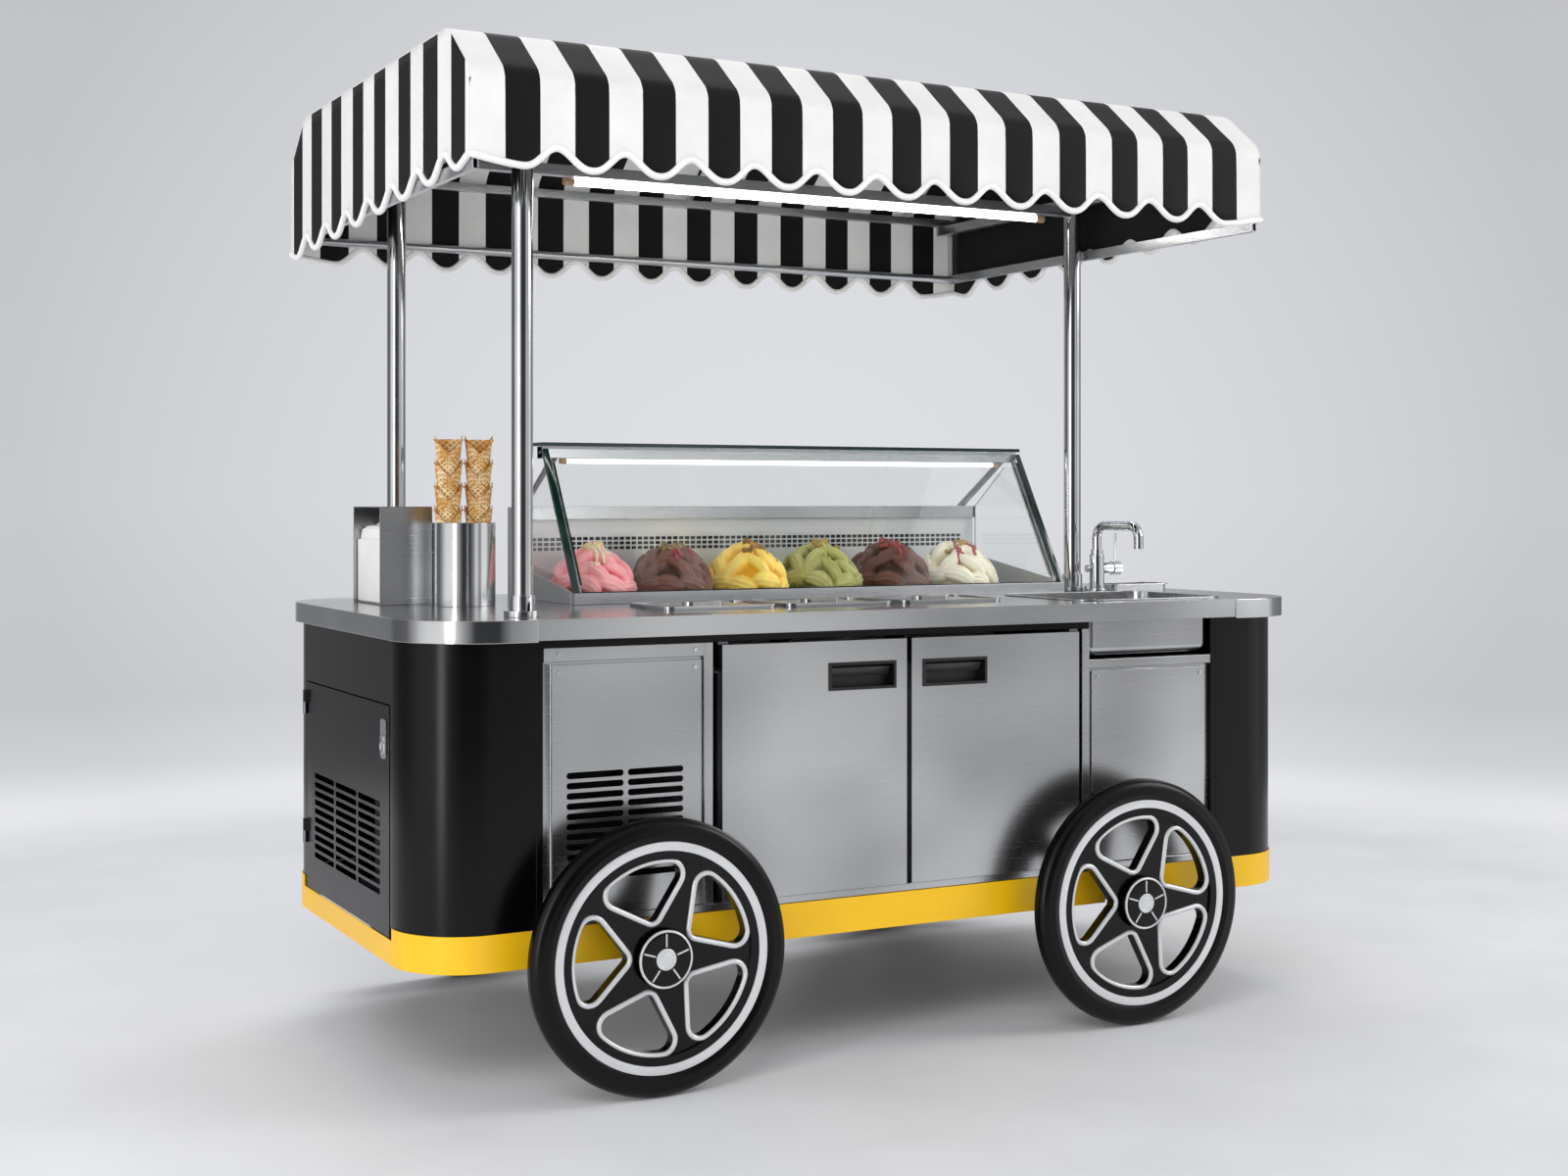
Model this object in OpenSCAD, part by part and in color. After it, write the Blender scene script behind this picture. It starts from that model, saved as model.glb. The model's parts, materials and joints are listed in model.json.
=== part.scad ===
/* [Worktop] */
// Length of the worktop over its corner caps
top_l = 2164; // [2140:1:2300]
// Depth of the worktop over its corner caps
top_d = 1040; // [1020:1:1060]
// Height of the worktop's face above the ground
top_z = 920; // [915:1:960]
// Height of the worktop's rim
rim_h = 40; // [36:1:44]
// Plan radius of the worktop's corners
top_r = 180; // [150:1:200]
// Sheet thickness of the worktop
top_t = 2; // [1.5:0.5:3]
// Thickness of the rim's corner caps
cap_t = 3; // [2:0.5:4]
// Straight rim that an end's cap covers beside its curves
cap_leg = 54; // [30:1:70]

/* [Body] */
// How far the worktop stands out past the body's ends
top_over = 12; // [10:1:22]
// Depth of the body over its front frame and back panel
body_d = 930; // [920:1:950]
// Plan radius of the corner columns
col_r = 145; // [120:1:170]
// Sheet thickness of the body panels
sheet = 2; // [1:0.5:3]
// Straight front of a corner column beside its curve
col_leg = 93; // [75:1:110]
// Depth of the front frame's bars
frame_dp = 25; // [20:1:28]
// Width of the frame's outer stiles
stile_out = 14; // [10:1:18]
// Width of the frame's inner stiles
stile_in = 20; // [14:1:24]
// Width of a side bay, from a corner column to the doors' bay
side_bay = 377; // [365:1:390]
// Height of the frame's bottom rail
rail_low = 16; // [12:1:24]
// Height of the frame's top rail
rail_top = 18; // [14:1:22]
// Height of the rail over the vent panel
rail_vent = 27; // [20:1:32]
// Lower edge of the plinth band above the ground
band_z = 250; // [246:1:254]
// Height of the plinth band
band_h = 72; // [70:1:80]
// Thickness of the plinth band
band_t = 3; // [2:0.5:5]

/* [Wheels] */
// Outer diameter of a tyre
wheel_d = 536; // [532:1:540]
// Width of a tyre
tyre_w = 48; // [40:1:56]
// Gap between the body's front and a tyre's inner face
tyre_gap = 72; // [65:1:80]
// Distance of the left axle from the middle
axle_left = 616; // [606:1:626]
// Distance of the right axle from the middle
axle_right = 533; // [523:1:543]
// Diameter of the dead axles
axle_d = 30; // [25:1:32]
// Radius where the tyre meets the rim
rim_r = 224; // [218:1:230]
// Width of a spoke where it is narrowest
spoke_w = 40; // [34:1:46]

/* [Doors] */
// Thickness of a refrigerator door
door_t = 36; // [32:1:38]
// How far the doors stand proud of the front frame
door_proud = 10; // [6:1:12]
// Gap between the two doors
door_gap = 12; // [8:1:16]
// Gap between a door and its stile
hinge_gap = 16; // [15:1:20]
// Diameter of the hinge pins
pin_d = 8; // [6:1:10]
// Width of a door pull
pull_w = 162; // [140:1:180]
// Height of a door pull
pull_h = 58; // [50:1:64]
// Width of the end door
end_door_w = 600; // [580:1:604]
// Height of the end door
end_door_h = 448; // [430:1:470]
// Thickness of the end door
end_door_t = 15; // [12:1:18]

/* [Display] */
// Distance of the display from the worktop's left end
disp_left = 499; // [490:1:510]
// Distance of the display from the worktop's right end
disp_right = 374; // [365:1:385]
// Front edge of the display
disp_y = -50; // [-60:1:-45]
// Height of the display's top rail above the ground
disp_z = 1268; // [1255:1:1285]
// Thickness of the glass
glass_t = 8; // [6:1:10]
// Number of gelato pans
pan_n = 6; // [4:1:6]
// Gap between neighbouring gelato pans
pan_gap = 10; // [5:1:15]

/* [Sink and tap] */
// Width of the sink bowl
sink_w = 395; // [370:1:400]
// Depth of the sink bowl, front to back
sink_d = 325; // [300:1:330]
// Height of the sink bowl
sink_h = 122; // [100:1:126]
// Reach of the tap's spout
spout_reach = 165; // [150:1:175]

/* [Canopy] */
// Distance of the canopy's left edge from the worktop's left end
can_left = 59; // [45:1:75]
// Distance of the canopy's right edge from the worktop's right end
can_right = 258; // [240:1:270]
// Half depth of the canopy at its valance
can_d = 626; // [618:1:640]
// Half depth of the canopy's flat top
can_top_d = 509; // [490:1:520]
// Height of the canopy's top
can_z = 2024; // [2010:1:2060]
// Height of the bend between slope and valance
can_bend = 1929; // [1920:1:1940]
// Height of the front hem
hem_front = 1755; // [1740:1:1770]
// Height of the back hem
hem_back = 1705; // [1690:1:1720]
// Thickness of the canopy cloth
cloth_t = 3; // [2:0.5:4]
// Number of stripes on the canopy's front
stripe_n = 27; // [21:2:31]
// Number of scallops on a canopy end
end_lobe_n = 8; // [6:1:10]
// Height of the scallops
lobe_h = 38; // [28:1:44]
// Diameter of the canopy posts
post_d = 42; // [36:1:48]

/* [Hidden] */
$fn = 48;
// Gap left between pieces of one body that are seated on each other
seat = 0.3;
// Radial clearance of a pin or shaft in its bore
run = 0.05;
// Extra length that lets a cut pass cleanly through a face
eps = 1;

// Ends of the worktop, and what stands at a set distance from them
left_x = -top_l / 2;
right_x = top_l / 2;
body_l = top_l - 2 * top_over;
disp_x0 = left_x + disp_left;
disp_x1 = right_x - disp_right;
can_x0 = left_x + can_left;
can_x1 = right_x - can_right;

wheel_r = wheel_d / 2;
tyre_in = body_d / 2 + tyre_gap;
axle_r = axle_d / 2;
band_top = band_z + band_h;
body_top = top_z - rim_h;
under_top = top_z - top_t - seat;
deck_t = 2;
front_y = -body_d / 2;
back_y = body_d / 2;
end_x = body_l / 2;
col_seam = end_x - col_r - col_leg;
bay_half = col_seam - side_bay;
post_r = post_d / 2;
sheet_l = top_l - 2 * (cap_t + seat);
sheet_d = top_d - 2 * (cap_t + seat);
sheet_r = top_r - cap_t - seat;

// Refrigerator doors, measured from the frame
door_z0 = band_top + rail_low + 2;
door_z1 = body_top - rail_top - 6;
door_x0 = door_gap / 2;
door_x1 = bay_half - hinge_gap;
door_y = front_y - door_proud;
pin_x = door_x1 - 7;
pin_y = door_y + 20;
skin = 1.5;
pull_edge = 27;
pull_lip = 4;
pull_x0 = door_x0 + pull_edge;
pull_z0 = door_z1 - 45 - pull_h;
pull_depth = 26;

// Cold cabinet behind the doors
cab_x = bay_half - 3;
cab_y0 = door_y + door_t + 4;
cab_y1 = back_y - 35;
cab_z0 = band_top + 4;
cab_z1 = 800;
cab_t = 3;

// Service bays beside the doors
bay_in = bay_half + stile_in;
bay_out = col_seam - stile_out;
panel_in = bay_in + 6;
panel_out = bay_out - 18;
panel_z1 = body_top - rail_top - rail_vent - 7;
basin_z = top_z - sink_h;

// End door, which closes into an opening of its end, and its latch
end_gap = 2.5;
end_proud = 1;
end_door_z0 = band_top - 22;
end_door_x = -end_x - end_proud + end_door_t;
end_pin_d = 5;
knuckle_r = 4.5;
end_pin_x = -end_x - knuckle_r - 0.7;
end_pin_y = end_door_w / 2 + knuckle_r + 0.5;
latch_y = -end_door_w / 2 + 32;
latch_z = end_door_z0 + end_door_h - 66;

// Worktop fittings
pan_l = 325;
pan_dp = 120;
pan_y = 150;
pan_left = 25.5;
pan_right = 95.5;
pan_step = (disp_x1 - disp_x0 - pan_left - pan_right) / pan_n;
pan_w = pan_step - pan_gap;
pan_x0 = disp_x0 + pan_left + pan_step / 2;
pan_rim_z = top_z + 15;
well_x0 = pan_x0 - pan_w / 2 - 8;
well_x1 = pan_x0 + (pan_n - 1) * pan_step + pan_w / 2 + 8;
well_y0 = pan_y - pan_l / 2 + 5;
well_y1 = pan_y + pan_l / 2 - 5;
sink_x = bay_out - 131;
top_pan_n = 3;
top_pan_gap = 20;
top_pan_side = [80.5, 354.5];
top_pan_x0 = disp_x0 + top_pan_side[0];
top_pan_x1 = sink_x - top_pan_side[1];
top_pan_step = (top_pan_x1 - top_pan_x0 + top_pan_gap) / top_pan_n;
top_pan_w = top_pan_step - top_pan_gap;
top_pan_d = 200;
top_pan_dp = 100;
top_pan_y = -240;
top_pan_x = [for (k = [0:top_pan_n - 1]) top_pan_x0 + top_pan_w / 2 + k * top_pan_step];
sink_y = -262;
tap_x = sink_x + 113;
tap_y = -58;
dip_x = sink_x + 261;
dip_y = 10;
post_y = 405;
post_in = [244, 307];
post_at = [[left_x + post_in[0], -post_y], [left_x + post_in[0], post_y],
           [right_x - post_in[1], 10]];
beam_z = 1875;
beam_h = 24;

// Places of the two axles
axle_x = [-axle_left, axle_right];

// Box between two opposite corners
module span(a, b) {
    translate(a) cube(b - a);
}

// Outline with rounded corners, centred
module round_rect(l, d, r) {
    square([l - 2 * r, d], center = true);
    square([l, d - 2 * r], center = true);
    for (sx = [-1, 1], sy = [-1, 1])
        translate([sx * (l / 2 - r), sy * (d / 2 - r)]) circle(r);
}

// Upright shell between two rounded outlines
module round_wall(l, d, r, t, h) {
    linear_extrude(h) difference() {
        round_rect(l, d, r);
        round_rect(l - 2 * t, d - 2 * t, r - t);
    }
}

// Open tray: floor, walls and a flat rim round its mouth
module tray(l, d, h, r, t, lip, lip_t) {
    linear_extrude(t) round_rect(l, d, r);
    round_wall(l, d, r, t, h);
    translate([0, 0, h]) round_wall(l + 2 * lip, d + 2 * lip, r + lip, lip + t, lip_t);
}

// Side outline (y, z) drawn out along x
module prism_x(x0, x1, pts) {
    translate([x0, 0, 0]) rotate([90, 0, 90]) linear_extrude(x1 - x0) polygon(pts);
}

// Front outline (x, z) drawn out along y
module plate_y(y0, y1) {
    translate([0, y1, 0]) rotate([90, 0, 0]) linear_extrude(y1 - y0) children();
}

// Copies in the four plan corners
module four_corners() {
    for (mx = [0, 1], my = [0, 1])
        mirror([mx, 0, 0]) mirror([0, my, 0]) children();
}

// Hollow square tube along x, y or z
module tube_x(x0, x1, y, z, w, h, t) {
    difference() {
        span([x0, y - w / 2, z], [x1, y + w / 2, z + h]);
        span([x0 - eps, y - w / 2 + t, z + t], [x1 + eps, y + w / 2 - t, z + h - t]);
    }
}

module tube_y(y0, y1, x, z, w, h, t) {
    difference() {
        span([x - w / 2, y0, z], [x + w / 2, y1, z + h]);
        span([x - w / 2 + t, y0 - eps, z + t], [x + w / 2 - t, y1 + eps, z + h - t]);
    }
}

// Wheel pieces, drawn with the axle along z and the outer face up
tyre_edge = 14;
hub_r = 45;
hub_cap_r = 57;
hub_cap_h = 10;
hub_cap_edge = 7;
felloe_r = rim_r - 35;
felloe_w = tyre_w - 10;
web_t = 26;
hub_w = tyre_w - 4;
nut_h = 6;
collar_h = 10;

// Turns a wheel drawn along z to its place: axle number and side of the cart
module at_wheel(i, side) {
    translate([axle_x[i], side * (tyre_in + tyre_w / 2), wheel_r])
        rotate([-90 * side, 0, 0]) children();
}

module tyre(i, side) {
    color("#1d1d1f") at_wheel(i, side) rotate_extrude() {
        translate([rim_r, -tyre_w / 2]) square([wheel_r - tyre_edge - rim_r, tyre_w]);
        translate([rim_r, tyre_edge - tyre_w / 2]) square([wheel_r - rim_r, tyre_w - 2 * tyre_edge]);
        for (s = [-1, 1])
            translate([wheel_r - tyre_edge, s * (tyre_w / 2 - tyre_edge)]) circle(tyre_edge);
    }
}

// Window between two spokes: a round tip at the hub, two round outer corners and an arc
spoke_n = 5;
window_turn = 33;
window_r = felloe_r - 8;
window_tip = 88;
tip_r = 14;
corner_r = 22;
bite = 0.3;
module rim_window() {
    reach = window_r - corner_r + bite;
    half = 180 / spoke_n - asin((spoke_w / 2 + corner_r) / reach);
    tip = [window_tip, 0];
    corner = reach * [cos(half), sin(half)];
    side = norm(corner - tip);
    along = (corner - tip) / side;
    lean = (corner_r - tip_r) / side;
    out = sqrt(1 - lean * lean) * [-along[1], along[0]] - lean * along;
    tip_edge = tip + (tip_r - bite) * out;
    corner_edge = corner + (corner_r - bite) * out;
    far = 2 * corner;
    intersection() {
        circle(window_r);
        polygon([tip_edge, corner_edge, corner, far, [far[0], -far[1]], [corner[0], -corner[1]],
                 [corner_edge[0], -corner_edge[1]], [tip_edge[0], -tip_edge[1]]]);
    }
    translate(tip) circle(tip_r);
    for (s = [-1, 1]) translate([corner[0], s * corner[1]]) circle(corner_r);
}

module wheel_rim(i, side) {
    color("#26272b") at_wheel(i, side) difference() {
        union() {
            rotate_extrude()
                translate([felloe_r, -felloe_w / 2]) square([rim_r - seat - felloe_r, felloe_w]);
            translate([0, 0, -web_t / 2]) cylinder(r = felloe_r + 5, h = web_t);
            translate([0, 0, -hub_w / 2]) cylinder(r = hub_r, h = hub_w);
        }
        translate([0, 0, -web_t]) linear_extrude(2 * web_t) for (k = [0:spoke_n - 1])
            rotate(window_turn + 360 / spoke_n * k) rim_window();
        translate([0, 0, -hub_w]) cylinder(r = axle_r + run, h = 2 * hub_w);
        translate([0, 0, hub_w / 2 - nut_h - 2]) cylinder(r = axle_r + nut_h + 3, h = hub_w);
    }
}

module hub_cap(i, side) {
    color("#b9bcc2") at_wheel(i, side) translate([0, 0, hub_w / 2 + seat])
        rotate_extrude() {
            square([hub_cap_r, hub_cap_h - hub_cap_edge]);
            square([hub_cap_r - hub_cap_edge, hub_cap_h]);
            translate([hub_cap_r - hub_cap_edge, hub_cap_h - hub_cap_edge]) intersection() {
                circle(hub_cap_edge);
                square(hub_cap_edge);
            }
        }
}

module axle_shafts() {
    hub_in = tyre_in + (tyre_w - hub_w) / 2;
    hub_out = hub_in + hub_w;
    color("#8d9096") for (x = axle_x) translate([x, 0, wheel_r]) rotate([90, 0, 0]) {
        cylinder(r = axle_r, h = 2 * (hub_out - 3), center = true);
        for (s = [-1, 1]) {
            translate([0, 0, s * (hub_in - 0.5 - collar_h / 2)])
                cylinder(r = axle_r + 9, h = collar_h, center = true);
            translate([0, 0, s * (hub_out - 1 - nut_h / 2)])
                cylinder(r = axle_r + nut_h, h = nut_h - 1, center = true);
        }
    }
}

// Rails and cross tubes under the deck, with a saddle over each axle end
chassis_y = 360;
chassis_w = 40;
saddle_w = 70;
module chassis_frame() {
    rail_z = wheel_r + axle_r + 3;
    rail_h = band_top - deck_t - seat - rail_z;
    rail_x = end_x - 60;
    cross_y = chassis_y - chassis_w / 2 - seat;
    color("#2c2d30") {
        difference() {
            translate([0, 0, band_top - deck_t]) linear_extrude(deck_t) round_rect(body_l, body_d, col_r);
            span([-end_x - eps, -end_door_w / 2 - end_gap, band_top - deck_t - eps],
                 [end_door_x + end_gap, end_door_w / 2 + end_gap, band_top + eps]);
        }
        for (s = [-1, 1]) tube_x(-rail_x, rail_x, s * chassis_y, rail_z, chassis_w, rail_h, 3);
        for (x = [-rail_x + 20, 0, rail_x - 20]) tube_y(-cross_y, cross_y, x, rail_z, 40, rail_h, 3);
        for (x = axle_x, s = [-1, 1]) difference() {
            span([x - saddle_w / 2, s * chassis_y - chassis_w / 2, wheel_r - 24],
                 [x + saddle_w / 2, s * chassis_y + chassis_w / 2, rail_z - seat]);
            translate([x, s * chassis_y, wheel_r]) rotate([90, 0, 0])
                cylinder(r = axle_r + seat, h = chassis_w + 2 * eps, center = true);
        }
    }
}

// Plinth band: four straight strips and four corner pieces round the deck
module plinth_band() {
    out_l = body_l + 2 * (band_t + seat);
    out_d = body_d + 2 * (band_t + seat);
    out_r = col_r + band_t + seat;
    end_y = body_d / 2 - col_r;
    color("#f5c01c") translate([0, 0, band_z]) {
        four_corners() intersection() {
            round_wall(out_l, out_d, out_r, band_t, band_h);
            translate([col_seam, end_y, -eps]) cube([top_l, top_d, band_h + 2 * eps]);
        }
        for (s = [-1, 1]) difference() {
            span([-col_seam + seat, s * (out_d / 2 - band_t / 2) - band_t / 2, 0],
                 [col_seam - seat, s * (out_d / 2 - band_t / 2) + band_t / 2, band_h]);
            for (x = axle_x) translate([x, s * out_d / 2, wheel_r - band_z]) {
                rotate([90, 0, 0]) cylinder(r = axle_r + 2, h = 4 * band_t, center = true);
                translate([-axle_r - 2, -2 * band_t, -2 * wheel_r])
                    cube([2 * axle_r + 4, 4 * band_t, 2 * wheel_r]);
            }
        }
        span([out_l / 2 - band_t, -end_y + seat, 0], [out_l / 2, end_y - seat, band_h]);
        span([-out_l / 2, -end_y + seat, 0],
             [-out_l / 2 + band_t, end_y - seat, end_door_z0 - 2 - band_z]);
    }
}

module corner_columns() {
    h = under_top - band_top - seat;
    color("#141518") translate([0, 0, band_top + seat]) four_corners() intersection() {
        round_wall(body_l, body_d, col_r, sheet, h);
        translate([col_seam + seat, body_d / 2 - col_r + seat, -eps]) cube([top_l, top_d, h + 2 * eps]);
    }
}

// End panels; the end door closes into the left one's opening
module end_panels() {
    half_y = body_d / 2 - col_r;
    z0 = band_top + seat;
    z1 = under_top;
    color("#17181b") {
        span([end_x - sheet, -half_y, z0], [end_x, half_y, z1]);
        difference() {
            span([-end_x, -half_y, z0], [-end_x + sheet, half_y, z1]);
            span([-end_x - eps, -end_door_w / 2 - end_gap, z0 - eps],
                 [-end_x + sheet + eps, end_door_w / 2 + end_gap, end_door_z0 + end_door_h + end_gap]);
        }
    }
}

module back_panel() {
    color("#17181b") span([-col_seam, back_y - sheet, band_top + seat],
                          [col_seam, back_y, under_top]);
}

// Insulated cabinet of five liner panels, open to the front, with a shelf
module cold_cabinet() {
    shelf_z = (cab_z0 + cab_z1) / 2;
    lip = 18;
    color("#d9dcdf") {
        span([-cab_x, cab_y0, cab_z0], [cab_x, cab_y1, cab_z0 + cab_t]);
        span([-cab_x, cab_y0, cab_z1 - cab_t], [cab_x, cab_y1, cab_z1]);
        for (s = [-1, 1])
            span([s * (cab_x - cab_t / 2) - cab_t / 2, cab_y0, cab_z0 + cab_t + seat],
                 [s * (cab_x - cab_t / 2) + cab_t / 2, cab_y1, cab_z1 - cab_t - seat]);
        span([-cab_x + cab_t + seat, cab_y1 - cab_t, cab_z0 + cab_t + seat],
             [cab_x - cab_t - seat, cab_y1, cab_z1 - cab_t - seat]);
        span([-cab_x + cab_t + seat, cab_y0 + 60, shelf_z],
             [cab_x - cab_t - seat, cab_y1 - cab_t - seat, shelf_z + cab_t]);
        for (x = [-cab_x + 40, cab_x - 40], y = [cab_y0 + 40, cab_y1 - 40])
            span([x - lip, y - lip, band_top + seat], [x + lip, y + lip, cab_z0 - seat]);
    }
}

// Condensing unit in the machine bay: tray, compressor, condenser, shroud and motor
unit_at = 285;
unit_x = -bay_in - unit_at;
unit_z = 480;
unit_tray = [[-230, -190], [210, 190]];
coil_at = 200;
coil_x = unit_x - coil_at;
pump_at = [100, 60];
pump_r = 80;
pump_h = 150;
motor_r = 38;
coil_w = 330;
coil_t = 44;
shroud_t = 8;
coil_top = unit_z + coil_w / 2 - 15;
motor_l = 60;
blade_w = 48;
fan_r = 105;
fan_gap = 75;
fan_x = coil_x + fan_gap;
fan_t = 20;
shaft_r = 4;
module condensing_unit() {
    z0 = band_top + seat;
    tray_t = 3;
    foot = z0 + tray_t + seat;
    color("#3a3c40") {
        translate([unit_x, 0, z0]) span([unit_tray[0][0], unit_tray[0][1], 0],
                                        [unit_tray[1][0], unit_tray[1][1], tray_t]);
        translate([unit_x + pump_at[0], pump_at[1], foot]) {
            cylinder(r = pump_r, h = pump_h);
            translate([0, 0, pump_h]) intersection() {
                sphere(r = pump_r);
                cylinder(r = pump_r, h = 0.75 * pump_r);
            }
        }
        span([coil_x, -coil_w / 2, foot], [coil_x + coil_t, coil_w / 2, coil_top]);
        difference() {
            span([coil_x + coil_t + seat, -coil_w / 2, foot],
                 [coil_x + coil_t + shroud_t, coil_w / 2, coil_top]);
            translate([coil_x, 0, unit_z]) rotate([0, 90, 0]) cylinder(r = fan_r + 12, h = 100);
        }
        translate([fan_x + fan_t + 6, 0, unit_z]) rotate([0, 90, 0]) cylinder(r = motor_r, h = motor_l);
        translate([fan_x - 4, 0, unit_z]) rotate([0, 90, 0]) cylinder(r = shaft_r, h = fan_t + 12);
        span([fan_x + fan_t + 20, -20, foot],
             [fan_x + fan_t + 6 + 0.7 * motor_l, 20, unit_z - 0.8 * motor_r]);
    }
}

module condenser_fan() {
    color("#b5b8bc") translate([fan_x, 0, unit_z]) rotate([0, 90, 0]) difference() {
        union() {
            cylinder(r = 24, h = fan_t);
            for (k = [0:4]) rotate(72 * k) translate([18, 0, fan_t / 2]) rotate([28, 0, 0])
                translate([0, -blade_w / 2, -1]) cube([fan_r - 20, blade_w, 2]);
        }
        translate([0, 0, -eps]) cylinder(r = shaft_r + run, h = fan_t + 2 * eps);
    }
}

can_w = 180;
can_l = 330;
can_h = 300;
can_first = 150;
can_pitch = 225;
can_y = 120;
module water_cans() {
    x0 = bay_in + can_first;
    color("#e8ebee") for (k = [0, 1]) translate([x0 + k * can_pitch, can_y, band_top + seat]) {
        linear_extrude(can_h) round_rect(can_w, can_l, 30);
        translate([0, -can_l / 2 + 60, can_h - 1]) cylinder(r = 28, h = 26);
        translate([0, -can_l / 2 + 60, can_h + 25]) cylinder(r = 34, h = 22);
    }
}

// Steel frame round the doors and service panels, as separate bars
mullion = 44;
module front_frame() {
    y0 = front_y;
    y1 = front_y + frame_dp;
    z0 = band_top + seat;
    z1 = z0 + rail_low - seat;
    z2 = body_top - rail_top;
    z3 = body_top - seat;
    color("#c3c6ca") {
        span([-col_seam, y0, z0], [col_seam, y1, z1]);
        span([-col_seam, y0, z2], [bay_in, y1, z3]);
        for (s = [-1, 1]) {
            span([s * (bay_out + stile_out / 2) - stile_out / 2, y0, z1 + seat],
                 [s * (bay_out + stile_out / 2) + stile_out / 2, y1, s < 0 ? z2 - seat : z3]);
            span([s * (bay_half + stile_in / 2) - stile_in / 2, y0, z1 + seat],
                 [s * (bay_half + stile_in / 2) + stile_in / 2, y1, z2 - seat]);
        }
        span([-bay_out + seat, y0, z2 - rail_vent], [-bay_in - seat, y0 + 4, z2 - seat]);
        span([bay_in + seat, y0, basin_z - 25], [bay_out - seat, y1, basin_z - 6]);
        span([-mullion / 2, cab_y0, cab_z0 + cab_t + seat], [mullion / 2, cab_y0 + 6, cab_z1 - cab_t - seat]);
    }
}

// Service panel: a raised face on a flange that closes the bay
panel_raise = 12;
module bay_panel(z1) {
    z0 = door_z0;
    difference() {
        union() {
            span([panel_in, front_y, z0], [panel_out, front_y + panel_raise, z1]);
            span([bay_in + seat, front_y + panel_raise - sheet, z0 - 1.5],
                 [bay_out - seat, front_y + panel_raise, z1 + 6]);
        }
        span([panel_in + sheet, front_y + sheet, z0 + sheet],
             [panel_out - sheet, front_y + panel_raise + eps, z1 - sheet]);
    }
}

// Slot with round ends, upright outline
module slot(w, h) {
    square([w - h, h], center = true);
    for (s = [-1, 1]) translate([s * (w - h) / 2, 0]) circle(h / 2);
}

vent_w = 120;
vent_gap = 9;
vent_pitch = 19.8;
vent_h = 12.6;
vent_rows = 11;
vent_top = 613;
module vent_panel() {
    mid = (panel_in + panel_out) / 2 + 5;
    color("#b9bcc0") difference() {
        mirror([1, 0, 0]) bay_panel(panel_z1);
        plate_y(front_y - eps, front_y + sheet + eps) for (s = [-1, 1], k = [0:vent_rows - 1])
            translate([-mid + s * (vent_w + vent_gap) / 2, vent_top - k * vent_pitch]) slot(vent_w, vent_h);
    }
}

module service_panel() {
    color("#b9bcc0") bay_panel(basin_z - 32);
}

// Refrigerator door: a folded pan, with hinge blocks and a cut for its pull
hinge_block = 24;
module fridge_door() {
    color("#b9bcc0") difference() {
        union() {
            difference() {
                span([door_x0, door_y, door_z0], [door_x1, door_y + door_t, door_z1]);
                span([door_x0 + skin, door_y + skin, door_z0 + skin],
                     [door_x1 - skin, door_y + door_t + eps, door_z1 - skin]);
            }
            for (z = [door_z0, door_z1 - hinge_block])
                span([door_x1 - hinge_block, door_y + skin / 2, z],
                     [door_x1 - skin / 2, door_y + door_t - 4, z + hinge_block]);
        }
        translate([pin_x, pin_y, door_z0 - eps]) cylinder(r = pin_d / 2 + run, h = hinge_block);
        translate([pin_x, pin_y, door_z1 + eps - hinge_block]) cylinder(r = pin_d / 2 + run, h = hinge_block);
        span([pull_x0 + pull_lip, door_y - eps, pull_z0 + pull_lip],
             [pull_x0 + pull_w - pull_lip, door_y + skin + eps, pull_z0 + pull_h - pull_lip]);
    }
}

// Recessed pull: a lipped frame with a finger pocket behind it
module door_handle() {
    t = 2;
    gap = pull_lip + seat;
    color("#0c0c0e") difference() {
        union() {
            span([pull_x0, door_y - 3, pull_z0], [pull_x0 + pull_w, door_y - seat, pull_z0 + pull_h]);
            span([pull_x0 + gap, door_y - 1, pull_z0 + gap],
                 [pull_x0 + pull_w - gap, door_y + pull_depth, pull_z0 + pull_h - gap]);
        }
        span([pull_x0 + gap + t, door_y - 4, pull_z0 + gap + t],
             [pull_x0 + pull_w - gap - t, door_y + pull_depth - t, pull_z0 + pull_h - gap - t]);
    }
}

// Inner liner that closes the door pan, with the sealing ring round it
module door_liner() {
    ring = 14;
    y0 = door_y + door_t - 3;
    y1 = door_y + door_t + 3.4;
    color("#3b3d41") {
        span([door_x0 + skin + seat, y0, door_z0 + skin + seat],
             [door_x1 - skin - seat, y0 + 2.5, door_z1 - skin - seat]);
        difference() {
            span([door_x0 + 4, y0 + 2, door_z0 + 4], [door_x1 - 4, y1, door_z1 - 4]);
            span([door_x0 + 4 + ring, y0 + 2.5, door_z0 + 4 + ring],
                 [door_x1 - 4 - ring, y1 + eps, door_z1 - 4 - ring]);
        }
    }
}

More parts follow.
